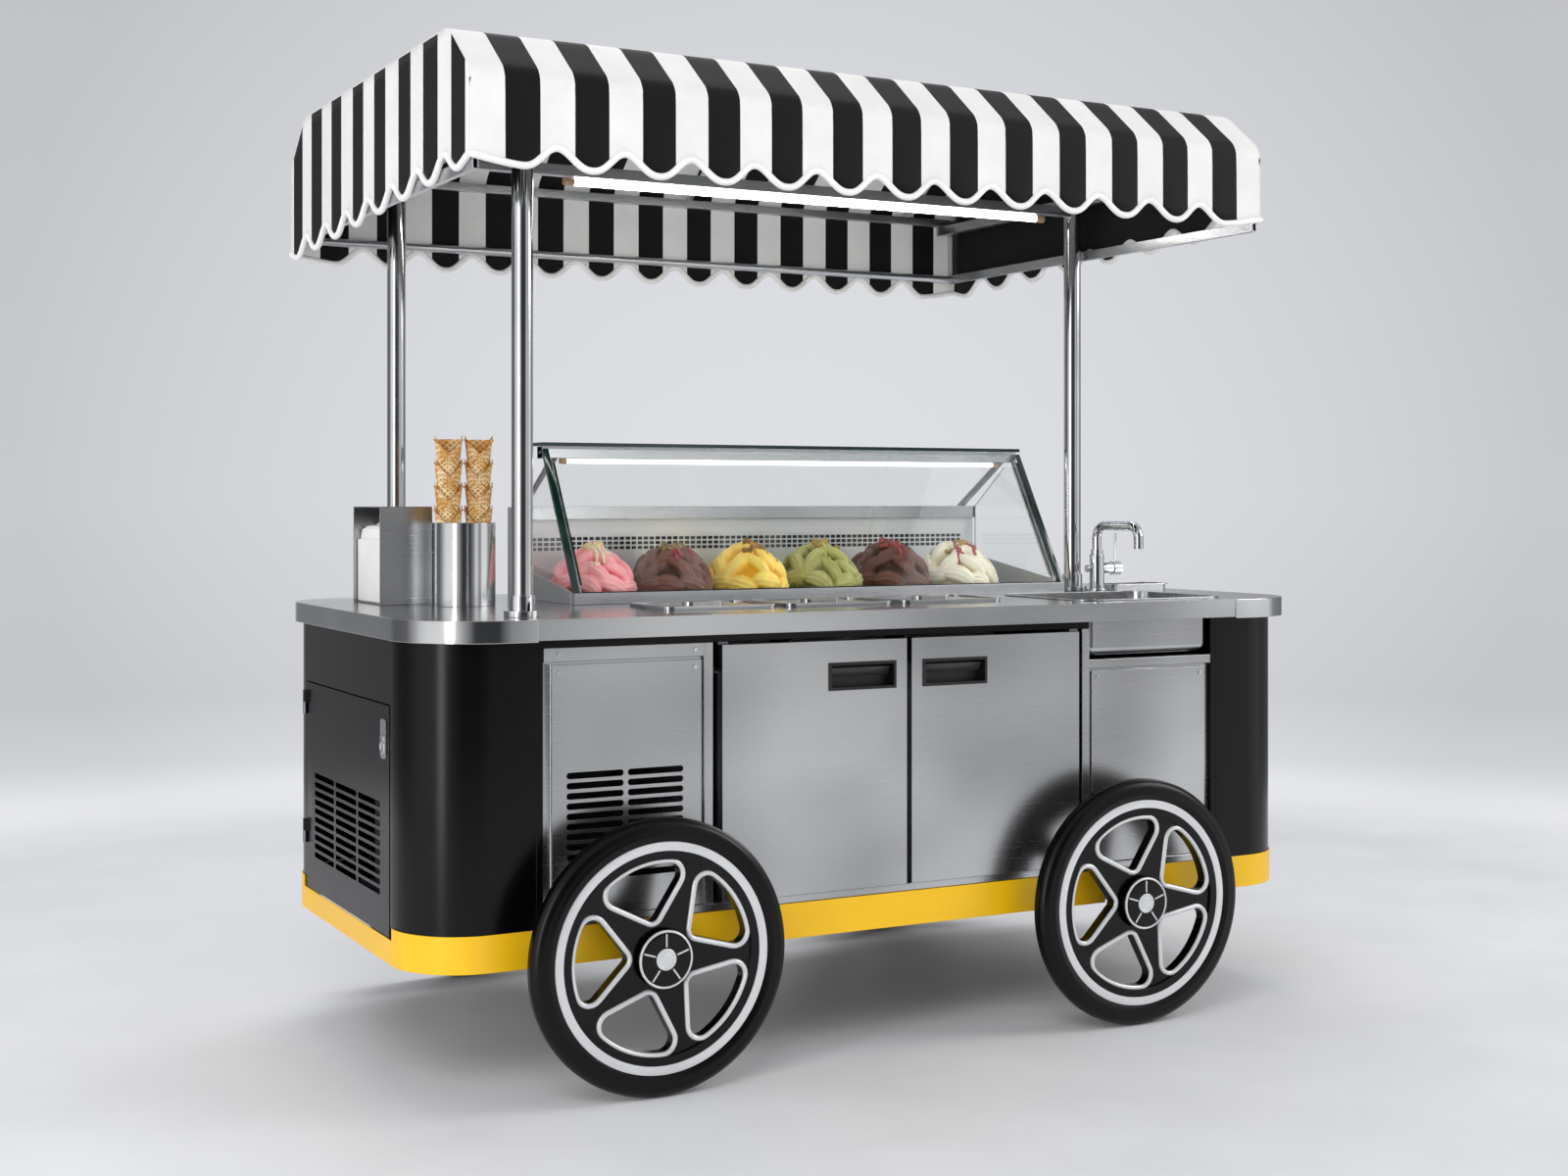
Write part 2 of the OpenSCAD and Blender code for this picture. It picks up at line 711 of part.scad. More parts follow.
// Fixed halves of the hinges: door pins on plates, and the end door's pin knuckles
leaf_h = 26;
leaf_w = 14;
leaf_t = 2.5;
end_hinge_z = [end_door_z0 + 96, end_door_z0 + end_door_h - 70];
module hinges() {
    z_low = band_top + rail_low;
    z_top = body_top - rail_top;
    color("#9a9da3") {
        for (s = [-1, 1]) {
            span([s * pin_x - 11, pin_y - 9, z_low + seat], [s * pin_x + 11, pin_y + 12, door_z0 - 0.5]);
            translate([s * pin_x, pin_y, door_z0 - 1]) cylinder(d = pin_d, h = hinge_block - 5);
            span([s * pin_x - 11, pin_y - 9, door_z1 + 0.5], [s * pin_x + 11, pin_y + 12, z_top - seat]);
            translate([s * pin_x, pin_y, door_z1 + 6 - hinge_block]) cylinder(d = pin_d, h = hinge_block - 5);
        }
        for (z = end_hinge_z) {
            translate([end_pin_x, end_pin_y, z]) cylinder(d = end_pin_d, h = 2 * leaf_h + 1);
            translate([end_pin_x, end_pin_y, z]) cylinder(r = knuckle_r, h = leaf_h);
            span([end_pin_x, end_pin_y + 1, z], [-end_x - seat, end_pin_y + 3.5, z + leaf_h]);
            span([-end_x - leaf_t, end_pin_y + 1, z], [-end_x - seat, end_pin_y + leaf_w, z + leaf_h]);
        }
    }
}

// End door: a shallow pan with three columns of vents and its hinge knuckles
end_vent_w = 152;
end_vent_gap = 12;
end_vent_rows = 10;
end_vent_pitch = 19;
end_vent_h = 12;
end_vent_top = end_door_z0 + 250;
module end_door() {
    x0 = end_door_x - end_door_t;
    half = end_door_w / 2;
    z1 = end_door_z0 + end_door_h;
    color("#17181b") difference() {
        union() {
            difference() {
                span([x0, -half, end_door_z0], [end_door_x, half, z1]);
                span([x0 + sheet, -half + sheet, end_door_z0 + sheet],
                     [end_door_x + eps, half - sheet, z1 - sheet]);
            }
            for (z = end_hinge_z) translate([0, 0, z + leaf_h + 0.5]) {
                translate([end_pin_x, end_pin_y, 0]) cylinder(r = knuckle_r, h = leaf_h);
                span([x0 - leaf_t, half - leaf_w, 0], [x0 + sheet / 2, half, leaf_h]);
                span([end_pin_x - 1, half - 1, 0], [x0 - 0.5, end_pin_y, leaf_h]);
            }
            span([x0 + sheet / 2, latch_y - 14, latch_z - 14], [end_door_x - 1, latch_y + 14, latch_z + 14]);
        }
        for (z = end_hinge_z) translate([end_pin_x, end_pin_y, z + leaf_h])
            cylinder(d = end_pin_d + 2 * run, h = leaf_h + 2);
        translate([x0 - eps, 0, 0]) rotate([90, 0, 90]) linear_extrude(sheet + 2 * eps)
            for (c = [-1:1], k = [0:end_vent_rows - 1])
                translate([c * (end_vent_w + end_vent_gap), end_vent_top - k * end_vent_pitch])
                    slot(end_vent_w, end_vent_h);
        translate([x0 - eps, latch_y, latch_z]) rotate([0, 90, 0])
            cylinder(r = 5 + run, h = end_door_t + 2 * eps);
    }
}

// Quarter-turn latch: plate, stub shaft and folding ring
module end_door_latch() {
    x0 = end_door_x - end_door_t;
    color("#c9ccd0") {
        translate([x0 - seat - 3, latch_y, latch_z]) rotate([0, 90, 0]) linear_extrude(3)
            round_rect(77, 34, 8);
        translate([x0 - seat - 1, latch_y, latch_z]) rotate([0, 90, 0]) cylinder(r = 5, h = end_door_t);
        translate([x0 - seat - 6, latch_y, latch_z]) rotate([0, 90, 0]) cylinder(r = 9, h = 4);
        translate([x0 - seat - 5.5, latch_y, latch_z - 16]) rotate([0, 90, 0]) rotate_extrude()
            translate([12, 1.8]) circle(2);
    }
}

// Worktop: a folded sheet with cut-outs for the pans, the toppings and the sink
pan_lip = 8;
pan_lip_l = 15;
top_pan_lip = 12;
sink_lip = 12;
sink_r = 45;
cut_gap = 2;
module worktop() {
    color("#c8cbce") difference() {
        translate([0, 0, body_top]) linear_extrude(rim_h) round_rect(sheet_l, sheet_d, sheet_r);
        translate([0, 0, body_top - eps]) linear_extrude(rim_h - top_t + eps)
            round_rect(sheet_l - 2 * top_t, sheet_d - 2 * top_t, sheet_r - top_t);
        span([well_x0, well_y0, body_top], [well_x1, well_y1, top_z + eps]);
        for (x = top_pan_x) translate([x, top_pan_y, body_top]) linear_extrude(rim_h + eps)
            round_rect(top_pan_w - 2 * (top_pan_lip - cut_gap), top_pan_d - 2 * (top_pan_lip - cut_gap), 14);
        translate([sink_x, sink_y, body_top]) linear_extrude(rim_h + eps)
            round_rect(sink_w + 2 * cut_gap, sink_d + 2 * cut_gap, sink_r + cut_gap);
    }
}

// Caps of the worktop's rim, one round each end and both its corners
cap_drop = 3;
module worktop_corner_caps() {
    h = rim_h + cap_drop;
    color("#d4d7da") translate([0, 0, body_top - cap_drop]) for (turn = [0, 180])
        rotate(turn) intersection() {
            round_wall(top_l, top_d, top_r, cap_t, h);
            translate([top_l / 2 - top_r - cap_leg, -top_d, -eps]) cube([top_l, 2 * top_d, h + 2 * eps]);
        }
}

module sink_bowl() {
    t = 1.5;
    color("#b4b7bb") difference() {
        translate([sink_x, sink_y, basin_z]) tray(sink_w, sink_d, sink_h + seat, sink_r, t, sink_lip, 2.5);
        translate([sink_x, sink_y, basin_z - eps]) cylinder(r = 28, h = 2 * eps + t);
    }
}

// Tap body: flange, column, cartridge arm to the right and a stub to the left
tap_r = 18;
tap_h = 92;
arm_z = top_z + 58;
arm_l = 44;
lever_x = tap_x + arm_l;
lever_h = 76;
module faucet_body() {
    color("#d7dadd") {
        translate([tap_x, tap_y, top_z + seat]) cylinder(r = tap_r + 6, h = 8);
        translate([tap_x, tap_y, top_z + seat + 7]) cylinder(r = tap_r, h = tap_h - 7);
        translate([tap_x - tap_r - 14, tap_y, arm_z]) rotate([0, 90, 0]) cylinder(r = 9, h = 20);
        translate([tap_x, tap_y, arm_z]) rotate([0, 90, 0]) cylinder(r = 14, h = arm_l);
        translate([lever_x - 2, tap_y, arm_z]) rotate([0, 90, 0]) cylinder(r = 5, h = 20);
        translate([tap_x, tap_y, top_z + tap_h - 4]) cylinder(r = 8, h = 24);
    }
}

// Spout: a collar that turns on the body's stub, and a tube with two square bends
spout_r = 11.5;
bend_r = 30;
bend_z = top_z + 134;
outlet_l = 25;
module bend_ring() {
    cylinder(r = spout_r + 0.5, h = 4, center = true);
}

module faucet_spout() {
    z0 = top_z + seat + tap_h + seat;
    color("#d7dadd") translate([tap_x, tap_y, 0]) difference() {
        union() {
            translate([0, 0, z0]) cylinder(r = tap_r - 3, h = 12);
            translate([0, 0, z0 + 5]) cylinder(r = spout_r, h = bend_z - z0 - 5);
            translate([0, -bend_r, bend_z]) rotate([90, 0, 90]) rotate_extrude(angle = 90)
                translate([bend_r, 0]) circle(spout_r);
            translate([0, -bend_r, bend_z + bend_r]) rotate([90, 0, 0])
                cylinder(r = spout_r, h = spout_reach - 2 * bend_r);
            translate([0, bend_r - spout_reach, bend_z]) rotate([90, 0, 90]) rotate(90)
                rotate_extrude(angle = 90) translate([bend_r, 0]) circle(spout_r);
            translate([0, -spout_reach, bend_z - outlet_l]) cylinder(r = spout_r, h = outlet_l);
            for (y = [0, -spout_reach]) translate([0, y, bend_z]) bend_ring();
            for (y = [-bend_r, bend_r - spout_reach])
                translate([0, y, bend_z + bend_r]) rotate([90, 0, 0]) bend_ring();
        }
        translate([0, 0, z0 - eps]) cylinder(r = 8 + run, h = 24);
    }
}

// Lever: a knob on the cartridge with a thin upright pin
module faucet_lever() {
    color("#d7dadd") difference() {
        union() {
            translate([lever_x + seat, tap_y, arm_z]) rotate([0, 90, 0]) cylinder(r = 17, h = 24);
            translate([lever_x + seat + 12, tap_y, arm_z + 12]) cylinder(r = 3, h = lever_h);
        }
        translate([lever_x - eps, tap_y, arm_z]) rotate([0, 90, 0]) cylinder(r = 5 + run, h = 21);
    }
}

module topping_pans() {
    t = 1.2;
    color("#aeb1b5") for (x = top_pan_x) translate([x, top_pan_y, top_z + seat - top_pan_dp])
        tray(top_pan_w - 2 * top_pan_lip, top_pan_d - 2 * top_pan_lip, top_pan_dp, 12, t, top_pan_lip, 2);
}

// Lid: a plate with a raised edge and an oval grip
lid_z = top_z + 2 * seat + 2;
lid_t = 1.5;
grip_w = 92;
grip_d = 34;
grip_h = 9;
module topping_lid(k) {
    color("#bfc2c6") translate([top_pan_x[k], top_pan_y, lid_z]) {
        linear_extrude(lid_t) round_rect(top_pan_w, top_pan_d, 22);
        round_wall(top_pan_w, top_pan_d, 22, 5, 5);
        linear_extrude(grip_h) slot(grip_w, grip_d);
    }
}

// Display: side line of the front glass and of the end frames
glass_y = disp_y + 4;
glass_z = top_z + 25;
glass_run = 190;
glass_end = disp_z - 6;
glass_rise = glass_end - glass_z;
glass_w = glass_t * sqrt(glass_run * glass_run + glass_rise * glass_rise) / glass_rise;
rail_y0 = glass_y + glass_run + glass_w + 1;
rail_y1 = rail_y0 + 32;
rail_z = disp_z - 28;
house_y0 = 330;
house_y1 = 420;
house_z = top_z + 210;
cheek_z0 = glass_z + 3;
cheek_z1 = top_z + 80;
foot_z = top_z + seat;

// Front edge's y of the end bar at a height
function bar_y(z) = glass_y + glass_w + seat + glass_run * (z - glass_z) / glass_rise;

module display_housing() {
    t = 2;
    color("#b8bbbf") {
        difference() {
            union() {
                span([disp_x0 + 20, house_y0, foot_z], [disp_x1 - 20, house_y1, house_z]);
                span([disp_x0 + 20, house_y0 - 14, house_z - 30], [disp_x1 - 20, house_y1, house_z]);
            }
            span([disp_x0 + 20 + t, house_y0 + t, top_z - eps],
                 [disp_x1 - 20 - t, house_y1 - t, house_z - t]);
        }
        for (x = [disp_x0, disp_x1 - 3])
            prism_x(x, x + 3, [[disp_y + 26, foot_z], [house_y0 - 1, foot_z],
                               [house_y0 - 1, cheek_z1], [disp_y + 26, cheek_z0]]);
        for (y = [well_y0 - 17, well_y1 + 1])
            span([disp_x0 + 4, y, foot_z], [disp_x1 - 4, y + 16, pan_rim_z - seat]);
    }
}

module display_glass() {
    pane_t = 6;
    pane_x = [disp_x0 + 20 + seat, disp_x1 - 20 - seat - pane_t];
    color("#cfe3dc", 0.4) {
        prism_x(disp_x0, disp_x1,
                [[glass_y, glass_z + seat], [glass_y + glass_w, glass_z + seat],
                 [glass_y + glass_w + glass_run, glass_end], [glass_y + glass_run, glass_end]]);
        span([disp_x0, rail_y0 - 12, disp_z + seat], [disp_x1, rail_y1 + 30, disp_z + seat + glass_t]);
        for (x = pane_x)
            prism_x(x, x + pane_t, [[bar_y(cheek_z0 + 12) + 4, cheek_z0 + 12], [house_y0 - 18, cheek_z1 + 4],
                                    [house_y0 - 18, house_z], [rail_y1 - 8, rail_z - 12],
                                    [bar_y(rail_z - 12) + 4, rail_z - 12]]);
    }
}

// Front rail, top rail, slanted front bars and rear struts
module display_frame() {
    bar_w = 16;
    color("#c6c9cd") {
        span([disp_x0, disp_y, foot_z], [disp_x1, disp_y + 25, glass_z]);
        tube_x(disp_x0 + 4, disp_x1 - 4, (rail_y0 + rail_y1) / 2, rail_z,
               rail_y1 - rail_y0, disp_z - rail_z, 2);
        for (x = [disp_x0 + 6, disp_x1 - 20]) {
            prism_x(x, x + 14, [[bar_y(glass_z), glass_z + seat], [bar_y(glass_z) + bar_w, glass_z + seat],
                                [bar_y(rail_z) + bar_w, rail_z - seat], [bar_y(rail_z), rail_z - seat]]);
        }
        for (x = [disp_x0 + 32, disp_x1 - 46])
            prism_x(x, x + 14, [[rail_y1 - 18, rail_z - seat], [rail_y1, rail_z - seat],
                                [house_y0 + 40, house_z + seat], [house_y0 + 18, house_z + seat]]);
    }
}

lamp_r = 9;
module display_light() {
    color("#fff6e4") translate([disp_x0 + 50, rail_y0 + 16, rail_z - seat - lamp_r]) rotate([0, 90, 0])
        cylinder(r = lamp_r, h = disp_x1 - disp_x0 - 100);
}

module gelato_pans() {
    t = 1.2;
    color("#b2b5b9") for (k = [0:pan_n - 1])
        translate([pan_x0 + k * pan_step, pan_y, pan_rim_z - pan_dp]) {
            linear_extrude(t) round_rect(pan_w - 2 * pan_lip, pan_l - 2 * pan_lip_l, 18);
            round_wall(pan_w - 2 * pan_lip, pan_l - 2 * pan_lip_l, 18, t, pan_dp);
            translate([0, 0, pan_dp]) linear_extrude(t) difference() {
                round_rect(pan_w, pan_l, 20);
                round_rect(pan_w - 2 * pan_lip - 2 * t, pan_l - 2 * pan_lip_l - 2 * t, 18 - t);
            }
        }
}

// Gelato: a filled pan heaped with lobes and a crest
scoop_tint = ["#e58a93", "#7a4a35", "#edc14c", "#9ba23c", "#5d3527", "#efe6cf"];
lobe_r = 0.465 * pan_w;
crest_r = 0.3 * pan_w;
heap_h = 130;
heap_side = 90;
lobe_y = 66;
module gelato() {
    t = 1.2;
    fill_w = pan_w - 2 * pan_lip - 2 * t - 2 * seat;
    fill_l = pan_l - 2 * pan_lip_l - 2 * t - 2 * seat;
    z0 = pan_rim_z + t + seat;
    for (k = [0:pan_n - 1]) color(scoop_tint[k])
        translate([pan_x0 + k * pan_step, pan_y, 0]) {
            translate([0, 0, pan_rim_z - pan_dp + t + seat]) linear_extrude(pan_dp - seat + 2)
                round_rect(fill_w, fill_l, 16);
            intersection() {
                union() {
                    for (k = [-1:1]) translate([0, k * lobe_y, z0 + (k == 0 ? heap_h : heap_side) - lobe_r])
                        sphere(r = lobe_r);
                    translate([-8, -20, z0 + heap_h + 4 - crest_r]) sphere(r = crest_r);
                }
                translate([-pan_w / 2, -pan_l / 2, z0]) cube([pan_w, pan_l, 200]);
            }
        }
}

module dipper_tray() {
    color("#b9bcc0") translate([dip_x, dip_y, top_z + seat]) tray(186, 96, 14, 24, 1.5, 7, 2);
}

// Napkin box, open to the left, and the napkins in it
nap_at = [left_x + 122, 130];
nap_size = [117, 200, 212];
nap_t = 2;
nap_h = 150;
module napkin_dispenser() {
    color("#aaadb1") translate([nap_at[0], nap_at[1], top_z + seat]) difference() {
        cube(nap_size);
        translate([-eps, nap_t, nap_t]) cube(nap_size - [nap_t - eps, 2 * nap_t, 2 * nap_t]);
    }
}

module napkin_stack() {
    gap = nap_t + seat;
    color("#f3f3f1") translate([nap_at[0] + 8, nap_at[1] + gap, top_z + seat + gap])
        cube([nap_size[0] - 8 - gap, nap_size[1] - 2 * gap, nap_h]);
}

// Cone canister with two holes, and nested cones standing in them
cone_at = [left_x + 284, 55];
cone_can_r = 68;
cone_can_z = top_z + 178;
cone_step = 34;
cone_r = 31;
cone_tip = 2;
cone_h = 150;
cone_rim_z = cone_can_z + 30;
cone_pitch = 50;
cone_n = 4;
function cone_radius(z) = cone_tip + (cone_r - cone_tip) * (z - cone_rim_z + cone_h) / cone_h;

module cone_holder() {
    t = 2;
    h = cone_can_z - top_z - seat;
    color("#9fa2a6") translate([cone_at[0], cone_at[1], top_z + seat]) difference() {
        cylinder(r = cone_can_r, h = h);
        translate([0, 0, t]) cylinder(r = cone_can_r - t, h = h - 2 * t);
        for (s = [-1, 1]) translate([s * cone_step, 0, h - t - eps])
            cylinder(r = cone_radius(cone_can_z) + seat, h = t + 2 * eps);
    }
}

module waffle_cones() {
    color("#dca05a") for (s = [-1, 1], k = [0:cone_n - 1])
        translate([cone_at[0] + s * cone_step, cone_at[1], cone_rim_z - cone_h + k * cone_pitch])
            difference() {
                cylinder(r1 = cone_tip, r2 = cone_r, h = cone_h);
                translate([0, 0, cone_pitch - 2]) cylinder(r1 = cone_tip, r2 = cone_r, h = cone_h);
            }
}

module canopy_posts() {
    color("#ccd0d4") for (p = post_at) translate([p[0], p[1], top_z + seat]) difference() {
        union() {
            cylinder(r = post_r + 15, h = 12);
            cylinder(r = post_r + 4, h = 42);
            cylinder(r = post_r, h = beam_z - top_z - 2 * seat);
        }
        translate([0, 0, -eps]) cylinder(r = post_r - 2, h = beam_z - top_z - 6);
    }
}

// Canopy frame: beams on the posts, an upper ring, low bars, legs, rafters and top rails
bar = 20;
ring_y = can_d - cloth_t - seat - bar / 2;
ring_x = [can_x0 + cloth_t + seat + bar / 2, can_x1 - cloth_t - seat - bar / 2];
ring_z = beam_z + beam_h + seat;
low_z = hem_front - 10;
low_h = 23;
ridge_y = can_top_d - 34;
ridge_z = can_z - cloth_t - seat - bar;
post_x = [post_at[0][0], post_at[2][0]];
module canopy_frame() {
    half = bar / 2;
    in_x = [ring_x[0] + half + seat, ring_x[1] - half - seat];
    color("#9da0a5") {
        for (x = post_x) tube_y(-ring_y - half, ring_y + half, x, beam_z, 24, beam_h, 2);
        tube_x(post_x[0] - 12, post_x[1] - post_r - seat, 0, beam_z - seat - 24, 24, 24, 2);
        for (s = [-1, 1]) {
            tube_x(in_x[0], in_x[1], s * ring_y, ring_z, bar, bar, 2);
            tube_x(ring_x[0] - half, ring_x[1] + half, s * ridge_y, ridge_z, bar, bar, 2);
            for (x = ring_x)
                span([x - half, s * ring_y - half, low_z + low_h + seat],
                     [x + half, s * ring_y + half, ring_z + bar]);
            for (x = [ring_x[0], post_x[0], 0, post_x[1] - 120, ring_x[1]])
                prism_x(x - 6, x + 6,
                        [[s * (ring_y + 4), ring_z + bar + seat], [s * (ring_y - 16), ring_z + bar + seat],
                         [s * (ridge_y - 10), ridge_z - seat], [s * (ridge_y + 10), ridge_z - seat]]);
        }
        for (x = ring_x) tube_y(-ring_y - half, ring_y + half, x, low_z, 12, low_h, 2);
        for (x = ring_x) tube_y(-ridge_y + half + seat, ridge_y - half - seat, x, ridge_z, bar, bar, 2);
        translate([ring_x[0] + 6 + seat, ring_y, low_z + 11]) rotate([0, 90, 0])
            cylinder(r = half, h = ring_x[1] - ring_x[0] - 12 - 2 * seat);
    }
}

light_r = 10;
light_in = [248, 95];
light_x = [post_x[0] + light_in[0], post_x[1] - light_in[1]];
module canopy_light() {
    color("#fff8ec") translate([light_x[0], 0, beam_z - beam_h - 2 * seat - light_r]) rotate([0, 90, 0])
        cylinder(r = light_r, h = light_x[1] - light_x[0]);
}

// Canopy cloth: flat top, two slopes, scalloped valances and gables
stripe_w = (can_x1 - can_x0) / stripe_n;
lobe_fill = 0.75;
end_margin = 15;
function lobe_radius(half) = (half * half + lobe_h * lobe_h) / (2 * lobe_h);

module valance(hem) {
    r = lobe_radius(lobe_fill * stripe_w);
    translate([can_x0, hem + lobe_h]) square([can_x1 - can_x0, can_bend - hem - lobe_h]);
    for (k = [1:2:stripe_n - 2]) translate([can_x0 + (k + 0.5) * stripe_w, hem + r]) circle(r);
}

module gable() {
    side = can_d - cloth_t - seat;
    step = 2 * (side - end_margin) / (end_lobe_n - 0.5);
    r = lobe_radius(lobe_fill * step / 2);
    polygon([[-side, hem_front + lobe_h], [side, hem_back + lobe_h], [side, can_bend - cloth_t],
             [can_top_d - cloth_t, can_z - cloth_t - seat], [-can_top_d + cloth_t, can_z - cloth_t - seat],
             [-side, can_bend - cloth_t]]);
    intersection() {
        for (k = [0:end_lobe_n - 1]) {
            y = -side + end_margin + (k + 0.25) * step;
            translate([y, hem_front + (hem_back - hem_front) * (y + side) / (2 * side) + r]) circle(r);
        }
        translate([-side, 0]) square([2 * side, can_bend]);
    }
}

module canopy() {
    color("#f4f4f2") {
        span([can_x0, -can_top_d, can_z - cloth_t], [can_x1, can_top_d, can_z]);
        for (s = [-1, 1]) prism_x(can_x0, can_x1,
            [[s * can_d, can_bend + seat], [s * (can_d - cloth_t - 1), can_bend + seat],
             [s * (can_top_d + seat), can_z - cloth_t - 1], [s * (can_top_d + seat), can_z]]);
        plate_y(-can_d, -can_d + cloth_t) valance(hem_front);
        plate_y(can_d - cloth_t, can_d) valance(hem_back);
        for (x = [can_x0, can_x1 - cloth_t])
            translate([x, 0, 0]) rotate([90, 0, 90]) linear_extrude(cloth_t) gable();
    }
}

// Screws of the service panels, the vent rail and the back panel
screw_r = 4;
screw_h = 2;
module panel_screws() {
    inset = 14;
    front_at = [[-panel_in - inset, panel_z1 - inset], [-panel_out + inset, panel_z1 - inset],
                [-panel_in - inset, body_top - rail_top - rail_vent / 2],
                [-panel_out + inset, body_top - rail_top - rail_vent / 2],
                [panel_in + inset, basin_z - 32 - inset], [panel_out - inset, basin_z - 32 - inset]];
    color("#d8dade") {
        for (p = front_at) translate([p[0], front_y - seat, p[1]]) rotate([90, 0, 0])
            cylinder(r = screw_r, h = screw_h);
        for (x = [-col_seam + 30, 0, col_seam - 30], z = [band_top + 40, body_top - 40])
            translate([x, back_y + seat, z]) rotate([-90, 0, 0]) cylinder(r = screw_r, h = screw_h);
    }
}

module fridge_door_left() mirror([1, 0, 0]) fridge_door();
module fridge_door_right() fridge_door();
module door_handle_left() mirror([1, 0, 0]) door_handle();
module door_handle_right() door_handle();
module door_liner_left() mirror([1, 0, 0]) door_liner();
module door_liner_right() door_liner();

tyre(0, -1);  // tyre_fl
tyre(1, -1);  // tyre_fr
tyre(0, 1);  // tyre_bl
tyre(1, 1);  // tyre_br
wheel_rim(0, -1);  // wheel_rim_fl
wheel_rim(1, -1);  // wheel_rim_fr
wheel_rim(0, 1);  // wheel_rim_bl
wheel_rim(1, 1);  // wheel_rim_br
hub_cap(0, -1);  // hub_cap_fl
hub_cap(1, -1);  // hub_cap_fr
hub_cap(0, 1);  // hub_cap_bl
hub_cap(1, 1);  // hub_cap_br
axle_shafts();
chassis_frame();
plinth_band();
corner_columns();
end_panels();
back_panel();
cold_cabinet();
condensing_unit();
condenser_fan();
water_cans();
front_frame();
vent_panel();
service_panel();
fridge_door_left();
fridge_door_right();
door_handle_left();
door_handle_right();
door_liner_left();
door_liner_right();
hinges();
end_door();
end_door_latch();
worktop();
worktop_corner_caps();
sink_bowl();
faucet_body();
faucet_spout();
faucet_lever();
topping_pans();
topping_lid(0);  // topping_lid_1
topping_lid(1);  // topping_lid_2
topping_lid(2);  // topping_lid_3
display_housing();
display_glass();
display_frame();
display_light();
gelato_pans();
gelato();
dipper_tray();
napkin_dispenser();
napkin_stack();
cone_holder();
waffle_cones();
canopy_posts();
canopy_frame();
canopy_light();
canopy();
panel_screws();
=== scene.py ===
import json
import math
import bmesh
import bpy
import numpy as np
from mathutils import Matrix, Vector, noise
from mathutils.bvhtree import BVHTree


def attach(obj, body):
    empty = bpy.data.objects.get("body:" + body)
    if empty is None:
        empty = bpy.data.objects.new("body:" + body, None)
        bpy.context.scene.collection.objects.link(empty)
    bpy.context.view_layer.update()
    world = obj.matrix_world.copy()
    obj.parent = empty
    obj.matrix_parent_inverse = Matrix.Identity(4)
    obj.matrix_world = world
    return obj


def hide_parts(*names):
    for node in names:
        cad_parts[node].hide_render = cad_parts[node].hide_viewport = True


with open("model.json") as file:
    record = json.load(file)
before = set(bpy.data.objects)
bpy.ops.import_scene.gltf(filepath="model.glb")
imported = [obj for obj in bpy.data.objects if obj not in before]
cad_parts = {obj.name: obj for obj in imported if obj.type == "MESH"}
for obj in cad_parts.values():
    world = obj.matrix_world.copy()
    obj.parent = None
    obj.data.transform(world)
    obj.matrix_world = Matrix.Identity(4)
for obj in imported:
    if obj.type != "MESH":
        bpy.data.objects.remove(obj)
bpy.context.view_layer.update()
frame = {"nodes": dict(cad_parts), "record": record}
cadNodes = frame["nodes"]
mm = 0.001
print("frame loaded:", len(cadNodes), "nodes")

# Range that a noise's values mostly fill, and the gap between a wave texture's bands at scale 1
noiseSpan = (0.3, 0.7)
waveGap = 2 * math.pi / 20


def linear(code):
    # A colour written as sRGB hex, in the linear values that the shaders take
    parts = [int(code[i:i + 2], 16) / 255 for i in (1, 3, 5)]
    return [c / 12.92 if c <= 0.04045 else ((c + 0.055) / 1.055) ** 2.4 for c in parts] + [1.0]


def addNode(tree, kind, settings=None, links=None):
    # One shader node: settings go to its ramp, its inputs or its own properties, links to its inputs
    made = tree.nodes.new("ShaderNode" + kind)
    for key, value in (settings or {}).items():
        if key == "stops":
            band = made.color_ramp.elements
            for spot, (place, code) in zip(band, (value[0], value[-1])):
                spot.position = place
                spot.color = linear(code)
            for place, code in value[1:-1]:
                band.new(place).color = linear(code)
        elif isinstance(key, int) or key in made.inputs:
            made.inputs[key].default_value = value
        else:
            setattr(made, key, value)
    for key, source in (links or {}).items():
        tree.links.new(source, made.inputs[key])
    return made


def startMaterial(name, settings):
    made = bpy.data.materials.new(name)
    made.use_nodes = True
    tree = made.node_tree
    shader = tree.nodes["Principled BSDF"]
    for key, value in settings.items():
        shader.inputs[key].default_value = value
    return made, tree, shader


def grain(tree, size, detail=3.0):
    # Pattern whose features are about size metres along each axis
    where = addNode(tree, "TexCoord")
    scaled = addNode(tree, "Mapping", {"Scale": [1 / s for s in size]},
                     {"Vector": where.outputs["Object"]})
    made = addNode(tree, "TexNoise", {"Scale": 1.0, "Detail": detail, "Roughness": 0.6},
                   {"Vector": scaled.outputs["Vector"]})
    return made.outputs["Fac"]


def finishSkin(tree, shader, tone, stops, rough=None, relief=None):
    # A skin's colours by its tone, its roughness between two values, and its relief by strength and depth
    colour = addNode(tree, "ValToRGB", {"stops": stops}, {"Fac": tone})
    tree.links.new(colour.outputs["Color"], shader.inputs["Base Color"])
    if rough:
        source, least, most = rough
        varied = addNode(tree, "MapRange", {"From Min": noiseSpan[0], "From Max": noiseSpan[1],
                                            "To Min": least, "To Max": most}, {"Value": source})
        tree.links.new(varied.outputs["Result"], shader.inputs["Roughness"])
    if relief:
        source, strength, depth = relief
        raised = addNode(tree, "Bump", {"Strength": strength, "Distance": depth}, {"Height": source})
        tree.links.new(raised.outputs["Normal"], shader.inputs["Normal"])
    return colour.outputs["Color"]


